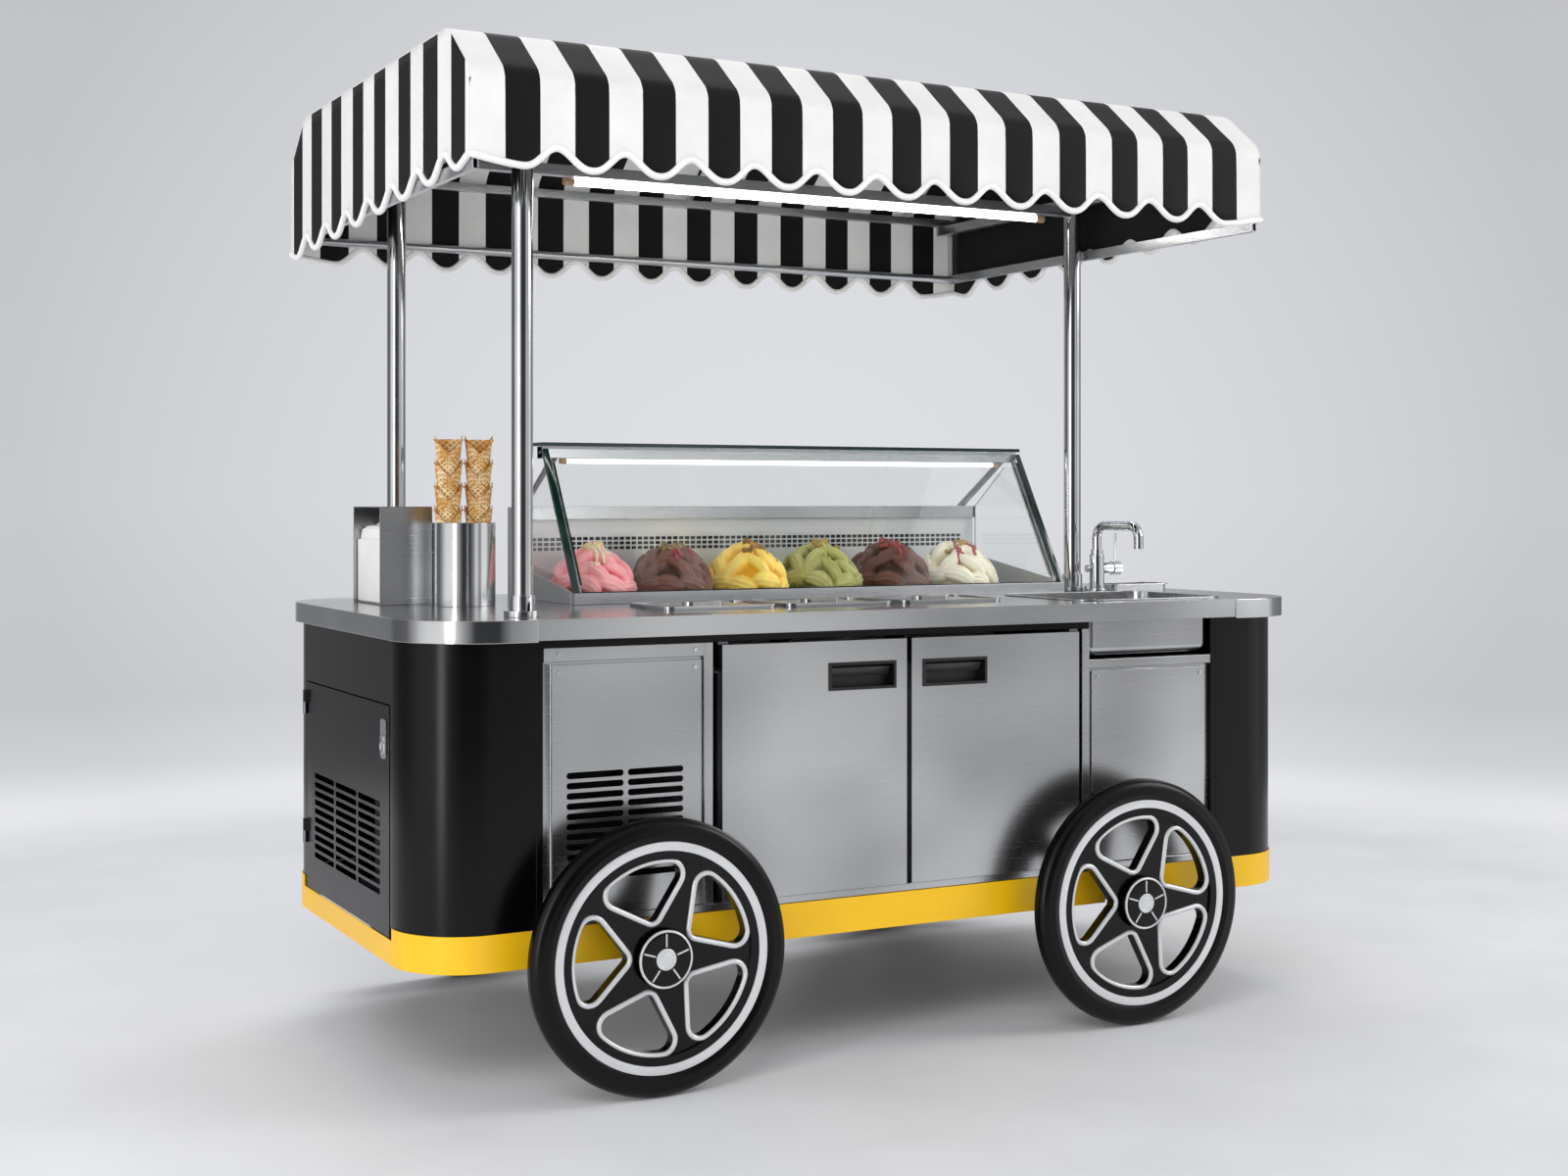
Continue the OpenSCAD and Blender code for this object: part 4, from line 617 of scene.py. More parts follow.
# Gelato heaps, in mm from the middle of a pan at its rim: rows of folded tongues on a rounded mound
heap = {
    "firstX": -460, "pitch": 195, "y": 150, "rim": 936.5, "widest": 94, "half": (75, 120, 84),
    "shoulder": 0.95, "narrow": 0.28, "span": 85, "ridge": 5.0, "ridgePitch": 8.5, "fineness": 6,
    "foot": -0.1, "creaseShadeRise": 24,
    "rows": [{"count": 9, "up": 9, "long": 0.46, "wide": 0.25, "rise": 22, "tilt": 14},
             {"count": 9, "up": 31, "long": 0.52, "wide": 0.20, "rise": 22, "tilt": 46},
             {"count": 7, "up": 53, "long": 0.50, "wide": 0.19, "rise": 22, "tilt": 55},
             {"count": 4, "up": 75, "long": 0.46, "wide": 0.20, "rise": 22, "tilt": 35}],
    "flavours": [
        {"name": "strawberry", "tones": ("#d4505f", "#e97f88", "#f4a5a8"), "sauce": ("#d9c49a", "#f2e6c8"),
         "bits": ("#c79d5c", "#ecd9ac"), "ribbons": 6},
        {"name": "chocolate", "tones": ("#3c221b", "#57352b", "#70493d"), "sauce": ("#8d1f33", "#b23a4a"),
         "bits": ("#6b5a3a", "#8c7a50"), "ribbons": 3},
        {"name": "mango", "tones": ("#dfa21c", "#f2c138", "#f9d767"), "sauce": ("#b8761a", "#d7962c"),
         "bits": ("#6b4a1c", "#94682a"), "ribbons": 2},
        {"name": "pistachio", "tones": ("#6a6a2c", "#8f9046", "#aeab68"), "sauce": ("#9aa044", "#b7bb62"),
         "bits": ("#7d5a2c", "#b09a3c"), "ribbons": 2},
        {"name": "hazelnut", "tones": ("#361e18", "#4d2d24", "#653c31"), "sauce": ("#8a2f30", "#a8443f"),
         "bits": ("#a02c33", "#5c4030"), "ribbons": 2},
        {"name": "cherry_ripple", "tones": ("#cdb98c", "#e6d9ba", "#f2ead6"), "sauce": ("#8e1c2e", "#b02c40"),
         "bits": ("#9a7a3a", "#b89848"), "ribbons": 6},
    ],
}


def jitter(seed, spot):
    # Steady pseudo-random value from -1 to 1
    return noise.noise(Vector((seed * 3.17 + 0.37, spot * 1.93 + 0.71, 5.3)))


def foldedHeap(index):
    # Each tongue is raised along its middle, bends a little, and keeps the fine ridges of the spatula
    bm = bmesh.new()
    bmesh.ops.create_icosphere(bm, subdivisions=heap["fineness"], radius=1.0)
    bmesh.ops.delete(bm, geom=[v for v in bm.verts if v.co.z < heap["foot"]], context="VERTS")
    way = np.array([v.co[:] for v in bm.verts])
    lift = np.zeros(len(way))
    for level, row in enumerate(heap["rows"]):
        for k in range(row["count"]):
            chance = [jitter(index * 5 + level, k * 3 + i) for i in range(4)]
            around = 2 * math.pi * (k + 0.5 * level + 0.45 * chance[0]) / row["count"] - math.pi / 2
            up = math.radians(row["up"] + 9 * chance[1])
            middle = Vector((math.cos(up) * math.cos(around), math.cos(up) * math.sin(around), math.sin(up)))
            flat = Vector((-math.sin(around), math.cos(around), 0))
            tilt = math.radians(row["tilt"] * (1 if k % 2 else -1) + 30 * chance[2])
            along = flat * math.cos(tilt) + middle.cross(flat) * math.sin(tilt)
            far = np.arctan2(way @ np.array(along), way @ np.array(middle)) / row["long"]
            bend = 0.16 * (0.5 + chance[3]) * (far ** 2 - 0.4)
            aside = np.arcsin(np.clip(way @ np.array(middle.cross(along)), -1, 1)) + bend
            half = row["wide"] * np.sqrt(np.clip(1 - far ** 2, 0.0001, 1))
            crown = np.sqrt(np.clip(1 - (aside / half) ** 2, 0, 1)) * np.clip(1 - far ** 2, 0, 1) ** 0.3
            ridges = np.abs(np.sin(math.pi * aside * heap["span"] / heap["ridgePitch"])) - 0.6
            lift = np.maximum(lift, (row["rise"] * (1 + 0.3 * chance[1]) + heap["ridge"] * ridges) * crown)
    # Each point's lift, kept for the gelato's painted shade in the creases
    crown = bm.verts.layers.float.new("crown")
    for v, out in zip(bm.verts, lift):
        v[crown] = max(0.0, min(1.0, float(out) / heap["creaseShadeRise"]))
        ball = v.co.copy()
        ball.z = math.copysign(abs(ball.z) ** heap["shoulder"], ball.z)
        ball.x *= 1 - heap["narrow"] * ball.z
        at = Vector([c * h for c, h in zip(ball, heap["half"])]) + v.co * float(out)
        at.x = max(-heap["widest"], min(heap["widest"], at.x))
        v.co = at
    return bm


# Toppings, in mm: ribbons of sauce down the face of a heap, and a cluster of nuts or fruit on its crown
topping = {
    "steps": 14, "above": 0.6, "fan": 64, "topShare": 0.3, "footShare": 1.5, "sway": 14, "bow": 18,
    "top": (-8, -10), "foot": (-92, -22), "ribbon": 3.3,
    "nuts": 20, "nutTurn": 2.4, "reach": (4, 30), "nutMiddle": -24, "nutSpread": 1.1, "nutSize": (8.4, 3.6),
    "nutRough": 0.35, "nutFlat": 0.75, "nutRise": 1.2,
}


def surfaceAt(mound, x, y):
    spot = mound.ray_cast(Vector((x, y, 400)), Vector((0, 0, -1)))[0]
    return spot if spot else Vector((x, y, 0))


def trickle(mound, start, end, bow, seed):
    # Row of points down the mound's face from start to end, bowed sideways
    points = []
    for i in range(topping["steps"] + 1):
        t = i / topping["steps"]
        x = start[0] + (end[0] - start[0]) * t + bow * math.sin(math.pi * t) + 3 * jitter(seed, i)
        y = start[1] + (end[1] - start[1]) * t + 2 * jitter(seed + 5, i)
        points.append(surfaceAt(mound, x, y) + Vector((0, 0, topping["above"])))
    return points


def toppings(index, mound, ribbons):
    trim = bmesh.new()
    for k in range(ribbons):
        swing = jitter(index + 11, k)
        fanned = (k - (ribbons - 1) / 2) * topping["fan"] / ribbons
        start = (fanned * topping["topShare"], topping["top"][0] + topping["top"][1] * swing)
        end = (fanned * topping["footShare"] + topping["sway"] * swing,
               topping["foot"][0] + topping["foot"][1] * swing)
        line = trickle(mound, start, end, topping["bow"] * swing, index * 9 + k)
        trim.from_mesh(sweep("ribbon", line, topping["ribbon"] + swing, False))
    ribbonFaces = len(trim.faces)
    for k in range(topping["nuts"]):
        turn = k * topping["nutTurn"] + index
        reach = topping["reach"][0] + topping["reach"][1] * ((k * 0.618 + 0.13 * index) % 1)
        forward = topping["nutMiddle"] + reach * topping["nutSpread"] * math.sin(turn)
        spot = surfaceAt(mound, reach * math.cos(turn), forward)
        size = topping["nutSize"][0] + topping["nutSize"][1] * jitter(index, k + 60)
        nut = bmesh.ops.create_icosphere(trim, subdivisions=2, radius=size)["verts"]
        for v in nut:
            v.co = v.co * (1 + topping["nutRough"] * noise.noise(v.co * 0.3 + Vector((k, index, 1))))
            v.co.z *= topping["nutFlat"]
        bmesh.ops.rotate(trim, verts=nut, cent=(0, 0, 0), matrix=Matrix.Rotation(turn, 3, "X"))
        bmesh.ops.translate(trim, verts=nut, vec=spot + Vector((0, 0, topping["nutRise"])))
    for number, face in enumerate(trim.faces):
        face.material_index = 0 if number < ribbonFaces else 1
    return trim


for index, flavour in enumerate(heap["flavours"]):
    rest = Vector((heap["firstX"] + index * heap["pitch"], heap["y"], heap["rim"])) * mm
    place = Matrix.Translation(rest) @ Matrix.Scale(mm, 4)
    bm = foldedHeap(index)
    trim = toppings(index, BVHTree.FromBMesh(bm), flavour["ribbons"])
    bmesh.ops.transform(trim, matrix=place, verts=trim.verts)
    bmesh.ops.transform(bm, matrix=place, verts=bm.verts)
    finish = gelatoFinish(flavour["name"] + "_gelato", flavour["tones"])
    fromBmesh("gelato_" + flavour["name"], bm, "cart", [finish], ["gelato"], 75)
    sauce = sauceFinish(flavour["name"] + "_sauce", *flavour["sauce"])
    nuts = sauceFinish(flavour["name"] + "_nuts", *flavour["bits"])
    fromBmesh("topping_" + flavour["name"], trim, "cart", [sauce, nuts], (), 75)
print("gelato heaped")


def clearPane():
    # Clear float glass: sharp reflections, and lamps shine straight through it
    made, tree, shader = startMaterial("clear_float_glass", {"Transmission Weight": 1.0, "IOR": 1.5})
    smears = grain(tree, (0.09, 0.09, 0.16), 4.0)
    finishSkin(tree, shader, smears, [(0.3, "#fbfdfc"), (0.7, "#fefffe")], (smears, 0.0, 0.03))
    rays = addNode(tree, "LightPath")
    through = addNode(tree, "BsdfTransparent", {"Color": linear("#fafdfb")})
    mixed = addNode(tree, "MixShader", None, {"Fac": rays.outputs["Is Shadow Ray"],
                                              1: shader.outputs["BSDF"], 2: through.outputs["BSDF"]})
    tree.links.new(mixed.outputs["Shader"], tree.nodes["Material Output"].inputs["Surface"])
    return made


def tubeGlow(name, strength):
    # Frosted lamp tube: an even white glow, a little warmer where the strip's joints lie
    made, tree, shader = startMaterial(name, {"Roughness": 0.4, "Emission Strength": strength})
    joints = grain(tree, (0.05, 0.5, 0.5), 2.0)
    glow = finishSkin(tree, shader, joints, [(0.3, "#fbf8f0"), (0.7, "#ffffff")])
    tree.links.new(glow, shader.inputs["Emission Color"])
    return made


glassPane = clearPane()
# Ground and polished glass edge, which shows the depth of green of the whole pane
glassEdge = coat("polished_glass_edge", "#0b211b", "#17382e", (0.06, 0.14), 0.003, 0.0001,
                 {"Coat Weight": 0.4})
# Tan plastic of the lamps' end caps, and painted shade: a dark skin that stands for the shade inside a hole
lampEnd = coat("lamp_end_plastic", "#a98a68", "#bb9c78", (0.35, 0.5), 0.002)
holeShade = coat("painted_hole_shade", "#08080a", "#101013", (0.5, 0.6), 0.003)

# Display panes: faces larger than this, in square metres, are clear and the rest are edges
paneFace = 0.012
bm = mergedNode("display_glass")
for face in bm.faces:
    face.material_index = 0 if face.calc_area() > paneFace else 1
panes = fromBmesh("display_panes", bm, "cart", [glassPane, glassEdge], ["display_glass"], 30)
evenShading(panes)

# Lamp tubes, in mm: ends along x, middle, radius, and the length of an end cap
lampTubes = {
    "display_light": {"x": (-533, 658), "at": (170, 1233), "radius": 6, "cap": 17, "glow": 2.0},
    "canopy_light": {"x": (-590, 680), "at": (0, 1840.4), "radius": 9, "cap": 24, "glow": 12.0},
}
tubeSteps = 32
for node, tube in lampTubes.items():
    start, end = tube["x"]
    radius, cap = tube["radius"], tube["cap"]
    middle = Vector((0, *tube["at"])) * mm
    place = Matrix.Translation(middle) @ Matrix.Rotation(math.pi / 2, 4, "Y")
    bm = bmesh.new()
    turned(bm, [(radius - 1, start + cap - 2), (radius - 1, end - cap + 2)], False, tubeSteps)
    settle(bm, place)
    frosted = tubeGlow(node + "_frosted_tube", tube["glow"])
    fromBmesh(node + "_tube", bm, "cart", [frosted], [node], 40)
    bm = bmesh.new()
    for tip, back in ((start, start + cap), (end, end - cap)):
        step = 1 if back > tip else -1
        shape = [(0, tip), (radius - 1.4, tip), (radius - 0.3, tip + 1.2 * step), (radius, tip + 3 * step),
                 (radius, back - step), (radius - 0.6, back), (0, back)]
        turned(bm, shape, False, tubeSteps)
    settle(bm, place)
    fromBmesh(node + "_caps", bm, "cart", [lampEnd], (), 40)
print("glass and lamps made")

# Air slots in the display's rear housing, in mm: thin dark blocks on its face, painted shade that stands for
# the holes
airSlots = {"x": (-528, 658), "z": 1031.6, "face": 329.7, "pitch": 15.6, "rowPitch": 11.2, "rows": 3,
            "size": (11.6, 0.8, 7.6), "corner": 1.4}
bm = bmesh.new()
count = int((airSlots["x"][1] - airSlots["x"][0]) / airSlots["pitch"])
block(bm, airSlots["size"], unit=mm)
through = [e for e in bm.edges if abs(e.verts[0].co.y - e.verts[1].co.y) > 0.5 * mm]
roundEdges(bm, through, airSlots["corner"] * mm, 1)
first = (airSlots["x"][0] * mm, airSlots["face"] * mm, airSlots["z"] * mm)
bmesh.ops.translate(bm, verts=bm.verts, vec=first)
source = list(bm.verts) + list(bm.edges) + list(bm.faces)
for row in range(airSlots["rows"]):
    for column in range(count):
        if row or column:
            copied = bmesh.ops.duplicate(bm, geom=source)["geom"]
            fresh = [g for g in copied if isinstance(g, bmesh.types.BMVert)]
            step = (column * airSlots["pitch"] * mm, 0, row * airSlots["rowPitch"] * mm)
            bmesh.ops.translate(bm, verts=fresh, vec=step)
fromBmesh("display_air_slot_shade", bm, "cart", [holeShade], (), 40)
print("air slots made:", count * airSlots["rows"])


def waferFinish():
    # Baked waffle wafer: raised pale diamond ribs 9.5 mm apart, browner in the cells
    made, tree, shader = startMaterial("baked_waffle_wafer", {"Subsurface Weight": 0.08})
    where = addNode(tree, "TexCoord")
    ribs = []
    for turn in (45, -45):
        laid = addNode(tree, "Mapping", {"Rotation": (0, 0, math.radians(turn))},
                       {"Vector": where.outputs["UV"]})
        wave = addNode(tree, "TexWave", {"Scale": waveGap / 0.0095, "Distortion": 0.0},
                       {"Vector": laid.outputs["Vector"]})
        ribs.append(wave.outputs["Fac"])
    grid = addNode(tree, "Math", {"operation": "MAXIMUM"}, {0: ribs[0], 1: ribs[1]})
    baked = grain(tree, (0.03, 0.03, 0.03), 4.0)
    total = addNode(tree, "Math", {"operation": "MULTIPLY_ADD", 1: 0.45},
                    {0: grid.outputs["Value"], 2: baked})
    finishSkin(tree, shader, total.outputs["Value"], [(0.5, "#b97a2e"), (0.8, "#d9a257"), (1.0, "#f6e0b4")],
               (baked, 0.5, 0.68), (grid.outputs["Value"], 0.7, 0.0011))
    return made


# Waffle cones, in mm: two stacks, each cone by the height of its rim
cones = {"x": (-832, -764), "y": 55, "rims": (1128, 1178, 1228, 1278), "radius": 31, "height": 150,
         "wall": 2.0, "tip": 2, "flare": 0.62, "steps": 64, "dip": 33, "peak": 7, "sides": 5, "shaped": 60,
         "oval": 0.03, "front": -112, "wrapRadius": 24, "edgeFrom": 80, "edgeSweep": 118, "edgeSteps": 12,
         "edge": 1.15, "shares": (0.0, 0.1, 0.2, 0.35, 0.5, 0.62, 0.72, 0.8, 0.86, 0.92, 0.96, 0.985)}


def coneRadius(share):
    # Radius at a share of the cone's height
    return cones["tip"] + (cones["radius"] - cones["tip"]) * share ** cones["flare"]


def rolledCone(bm, x, rim, turn):
    # One rolled wafer: its rim dips to a V at the front, where the wrap's two edges cross
    shell = bmesh.new()
    radius, height, wall = cones["radius"], cones["height"], cones["wall"]
    outer = [(coneRadius(t), height * (t - 1)) for t in cones["shares"]]
    profile = outer + [(radius, -0.7), (radius - wall / 2, 0), (radius - wall, -0.7)]
    profile += [(r - wall, a) for r, a in reversed(outer[3:])]
    turned(shell, profile, False, cones["steps"], 1)
    bmesh.ops.remove_doubles(shell, verts=shell.verts, dist=0.01)
    bmesh.ops.recalc_face_normals(shell, faces=shell.faces)
    layer = shell.loops.layers.uv.new("wrap")
    for face in shell.faces:
        middle = face.calc_center_median()
        seam = math.atan2(middle.y, middle.x)
        for loop in face.loops:
            angle = math.atan2(loop.vert.co.y, loop.vert.co.x)
            angle += round((seam - angle) / (2 * math.pi)) * 2 * math.pi
            loop[layer].uv = (angle * cones["wrapRadius"] * mm, loop.vert.co.z * mm)
    facing = math.radians(cones["front"]) + turn
    for v in shell.verts:
        away = math.atan2(v.co.y, v.co.x) - facing
        aside = abs(math.sin(away))
        top = max(0.0, 1 + v.co.z / cones["shaped"])
        deep = cones["dip"] if math.cos(away) > 0 else cones["sides"] * aside ** 2
        v.co.z -= top * (deep * (1 - aside) - cones["peak"] * aside ** 12)
        v.co.x *= 1 + cones["oval"] * top * math.cos(2 * away)
        v.co.y *= 1 - cones["oval"] * top * math.cos(2 * away)
    for side in (-1, 1):
        edge = []
        for i in range(cones["edgeSteps"] + 1):
            t = i / cones["edgeSteps"]
            angle = facing + side * math.radians(cones["edgeFrom"] - cones["edgeSweep"] * t)
            down = 1.5 + cones["dip"] * (1 - side * math.sin(angle - facing))
            r = coneRadius(1 - down / height) + 0.5 + 0.5 * (side + 1) / 2
            edge.append((r * math.cos(angle), r * math.sin(angle), -down))
        shell.from_mesh(sweep("wrap_edge", edge, cones["edge"], False, 2))
    bmesh.ops.transform(shell, matrix=Matrix.Translation((x, cones["y"], rim)), verts=shell.verts)
    bm.from_mesh(asMesh("cone", shell))


wafer = waferFinish()
bm = bmesh.new()
for column, x in enumerate(cones["x"]):
    for level, rim in enumerate(cones["rims"]):
        rolledCone(bm, x, rim, 0.5 * noise.noise(Vector((column * 4.3, level * 2.7, 0.4))))
toMetres(bm)
fromBmesh("rolled_waffle_cones", bm, "cart", [wafer], ["waffle_cones"], 60)

# Soft tissue of the napkins, and the plain card in front of them
paper = coat("soft_napkin_paper", "#ececea", "#f7f7f5", (0.75, 0.9), 0.0025, 0.0005, {"Sheen Weight": 0.2})
card = coat("plain_white_card", "#f0f0ee", "#f8f8f6", (0.45, 0.6), 0.004)
# Folded napkins standing in their box behind a plain card, in mm
napkins = {"x": (-948, -848), "y": (134, 326), "z": 923.5, "heights": (162, 172), "highest": 1098,
           "count": 15, "thick": 6.0, "round": 26, "ease": 2.6, "stagger": 4,
           "card": {"x": -951.2, "thick": 1.6, "y": (137, 323), "z": (924, 1060), "round": 9, "ease": 0.4}}


def standingSheet(bm, x, thick, ys, zs, radius, ease):
    plate = block(bm, (thick, ys[1] - ys[0], zs[1] - zs[0]), (x, sum(ys) / 2, sum(zs) / 2))
    edges = {e for v in plate for e in v.link_edges}
    crosswise = [e for e in edges if abs(e.verts[0].co.x - e.verts[1].co.x) > thick / 2]
    roundEdges(bm, [e for e in crosswise if e.verts[0].co.z > zs[1] - 1], radius, 6)
    outward = [e for e in bm.edges if e.is_convex and e.calc_face_angle(0) > 1.2]
    roundEdges(bm, [e for e in outward if abs(e.verts[0].co.x - x) < thick], ease, 3)


bm = bmesh.new()
low, high = napkins["heights"]
for k in range(napkins["count"]):
    t = k / (napkins["count"] - 1)
    x = napkins["x"][0] + 6 + (napkins["x"][1] - napkins["x"][0] - 8) * t
    rise = low + (high - low) * min(1.0, 2.4 * t)
    rise += napkins["stagger"] * noise.noise(Vector((k * 1.7, 0.3, 2.2)))
    sheet = bmesh.new()
    upright = (napkins["z"], min(napkins["z"] + rise, napkins["highest"]))
    standingSheet(sheet, x, napkins["thick"], napkins["y"], upright, napkins["round"], napkins["ease"])
    bm.from_mesh(asMesh("napkin", sheet))
toMetres(bm)
fromBmesh("folded_napkins", bm, "cart", [paper], ["napkin_stack"], 50)
bm = bmesh.new()
board = napkins["card"]
standingSheet(bm, board["x"], board["thick"], board["y"], board["z"], board["round"], board["ease"])
toMetres(bm)
fromBmesh("napkin_card", bm, "cart", [card], (), 40)

# Drain of the sink, in mm about its middle: dished strainer inside a flat ring
drain = {"at": (687, -262, 800.2), "holes": 6, "holeRadius": 3.2, "holeCircle": 12, "holeHeight": 1.4,
         "dish": [(0, 1.0), (4, 1.0), (6, 1.3), (17, 0.9), (22, 1.6), (24, 3.0), (32, 3.2), (35, 2.6),
                  (36.5, 0.2)]}
drainSpot = Vector(drain["at"]) * mm
bm = bmesh.new()
turned(bm, drain["dish"], False, 48)
settle(bm, Matrix.Translation(drainSpot))
fromBmesh("sink_drain", bm, "cart", [chrome], (), 40)
# Strainer holes: flat dark discs, painted shade that stands for the holes
bm = bmesh.new()
for k in range(drain["holes"]):
    turn = 2 * math.pi * k / drain["holes"]
    across = Vector((math.cos(turn), math.sin(turn), 0)) * drain["holeCircle"]
    spot = Matrix.Translation((across + Vector((0, 0, drain["holeHeight"]))) * mm)
    bmesh.ops.create_circle(bm, cap_ends=True, radius=drain["holeRadius"] * mm, segments=16, matrix=spot)
bmesh.ops.translate(bm, verts=bm.verts, vec=drainSpot)
fromBmesh("sink_drain_hole_shade", bm, "cart", [holeShade], (), 40)
print("cones, napkins and drain made")


def boxed(bm, spans, unit=1.0):
    # A block between the two ends given for each axis
    block(bm, [abs(b - a) for a, b in spans], [(a + b) / 2 for a, b in spans], unit)


# Dark bonded strips down both sides of the display's front pane, in mm
paneStrips = {"x": (-576, 701), "width": 14, "low": (-46, 945), "high": (144, 1262), "thick": 1.4,
              "proud": 0.3, "ease": 0.3}
bm = bmesh.new()
low, high = (Vector((0, y, z)) for y, z in (paneStrips["low"], paneStrips["high"]))
lean = math.atan2(high.y - low.y, high.z - low.z)
outward = Vector((0, -math.cos(lean), math.sin(lean)))
for x in paneStrips["x"]:
    strip = block(bm, (paneStrips["width"], paneStrips["thick"], (high - low).length))
    bmesh.ops.rotate(bm, verts=strip, cent=(0, 0, 0), matrix=Matrix.Rotation(-lean, 3, "X"))
    middle = (low + high) / 2 + outward * paneStrips["proud"] + Vector((x, 0, 0))
    bmesh.ops.translate(bm, vec=middle, verts=strip)
easeEdges(bm, paneStrips["ease"])
toMetres(bm)
fromBmesh("display_glass_strips", bm, "cart", [glassEdge], (), 40)

# Finger plates in the door pulls: a sloping bar across the upper half of each pocket, in mm
fingerPlate = {"x": 114, "y": -461, "z": 790, "size": (144, 3, 21), "lean": 28, "ease": 1.0}
# Black plastic coloured grey: a painted highlight for the light on the plates' upward slope
plateHighlightGrey = coat("black_plastic_painted_highlight", "#2a2a2c", "#3a3a3c", (0.3, 0.42), 0.0015, 0.0002)
for body, side in (("door_left", -1), ("door_right", 1)):
    bm = bmesh.new()
    block(bm, fingerPlate["size"])
    slope = Matrix.Rotation(math.radians(fingerPlate["lean"]), 3, "X")
    bmesh.ops.rotate(bm, verts=bm.verts, cent=(0, 0, 0), matrix=slope)
    middle = (side * fingerPlate["x"], fingerPlate["y"], fingerPlate["z"])
    bmesh.ops.translate(bm, vec=middle, verts=bm.verts)
    easeEdges(bm, fingerPlate["ease"])
    toMetres(bm)
    fromBmesh(body + "_finger_plate", bm, body, [plateHighlightGrey], (), 40)

# Front of the sink's shell, seen in the bay under the worktop, in mm; edges before and below are rounded
sinkShell = {"x": (479, 814), "y": (-457, -424), "z": (801, 879), "round": 17, "before": -440, "below": 810}
bm = bmesh.new()
boxed(bm, [sinkShell[axis] for axis in ("x", "y", "z")])
rounded = []
for e in bm.edges:
    depths = [v.co.y for v in e.verts]
    heights = [v.co.z for v in e.verts]
    if max(depths) < sinkShell["before"] and min(heights) < sinkShell["below"]:
        rounded.append(e)
    elif max(heights) < sinkShell["below"] and abs(depths[0] - depths[1]) > 10:
        rounded.append(e)
roundEdges(bm, rounded, sinkShell["round"], 6)
toMetres(bm)
evenShading(fromBmesh("sink_shell_front", bm, "cart", [steelShadedUpright], (), 50))

# Plugs in the open ends of the display's top rail, each held by a domed screw, in mm
railPlugs = {"ends": (("left", -579, 1), ("right", 704, -1)), "thick": 4, "y": (156.5, 183.5),
             "z": (1242.5, 1265.5), "ease": 0.8, "screw": [(0, 1.4), (1.6, 1.2), (2.6, 0.6), (3.0, 0)]}
for name, end, way in railPlugs["ends"]:
    bm = bmesh.new()
    boxed(bm, [(end, end + way * railPlugs["thick"]), railPlugs["y"], railPlugs["z"]], mm)
    easeEdges(bm, railPlugs["ease"] * mm)
    head = bmesh.new()
    turned(head, railPlugs["screw"], False, 24)
    spot = Vector((end, sum(railPlugs["y"]) / 2, sum(railPlugs["z"]) / 2)) * mm
    settle(head, Matrix.Translation(spot) @ Matrix.Rotation(-way * math.pi / 2, 4, "Y"))
    bm.from_mesh(asMesh("screw", head))
    fromBmesh("display_rail_plug_" + name, bm, "cart", [aluminium], (), 40)
print("strips, finger plates, sink shell and rail plugs made")


def staged(name, bm, material):
    # A piece of the set, which is not part of the cart
    mesh = asMesh(name, bm)
    mesh.materials.append(material)
    made = placed(name, mesh)
    return made


# Studio: a pale seamless floor that fades into a grey backdrop, lighter behind the cart
studio = {"floorRadius": 4.4, "fadeFrom": 2.6, "fadeTo": 4.3, "floorDrop": 0.0004, "ambient": 0.46,
          "glowAt": (0.470, 0.881, 0.054), "glowReach": 0.935, "glow": 1.27, "backdropSpan": (-0.3, 0.3),
          "backdrop": [(0.0, "#d4d5d8"), (0.2, "#f3f4f7"), (0.255, "#eeeff2"), (0.295, "#d0d1d5"),
                       (0.345, "#c4c5c9"), (0.5, "#c8c9cd"), (1.0, "#c0c1c5")]}
# Pale vinyl of the floor, scuffed duller in places
made, tree, shader = startMaterial("pale_vinyl_floor", {"Specular IOR Level": 0.35})
scuffs = grain(tree, (0.35, 0.35, 0.35), 5.0)
finishSkin(tree, shader, scuffs, [(0.3, "#edeef1"), (0.7, "#f3f4f7")], (scuffs, 0.4, 0.52))
where = addNode(tree, "TexCoord")
reach = addNode(tree, "VectorMath", {"operation": "LENGTH"}, {0: where.outputs["Object"]})
fade = addNode(tree, "MapRange", {"interpolation_type": "SMOOTHSTEP", "From Min": studio["fadeFrom"],
                                  "From Max": studio["fadeTo"]}, {"Value": reach.outputs["Value"]})
gone = addNode(tree, "BsdfTransparent")
faded = addNode(tree, "MixShader", None,
                {"Fac": fade.outputs["Result"], 1: shader.outputs["BSDF"], 2: gone.outputs["BSDF"]})
tree.links.new(faded.outputs["Shader"], tree.nodes["Material Output"].inputs["Surface"])
bm = bmesh.new()
bmesh.ops.create_circle(bm, cap_ends=True, radius=studio["floorRadius"], segments=128)
bmesh.ops.translate(bm, verts=bm.verts, vec=(0, 0, -studio["floorDrop"]))
staged("studio_floor", bm, made)

world = bpy.data.worlds.new("studio")
bpy.context.scene.world = world
world.use_nodes = True
tree = world.node_tree
where = addNode(tree, "TexCoord")
height = addNode(tree, "SeparateXYZ", None, {"Vector": where.outputs["Generated"]})
rise = addNode(tree, "MapRange",
               {"From Min": studio["backdropSpan"][0], "From Max": studio["backdropSpan"][1]},
               {"Value": height.outputs["Z"]})
wall = addNode(tree, "ValToRGB", {"stops": studio["backdrop"]}, {"Fac": rise.outputs["Result"]})
middle = addNode(tree, "VectorMath", {"operation": "DOT_PRODUCT", 1: studio["glowAt"]},
                 {0: where.outputs["Generated"]})
glow = addNode(tree, "MapRange",
               {"From Min": studio["glowReach"], "To Min": 1.0, "To Max": studio["glow"]},
               {"Value": middle.outputs["Value"]})
backdrop = addNode(tree, "Background", None,
                   {"Color": wall.outputs["Color"], "Strength": glow.outputs["Result"]})
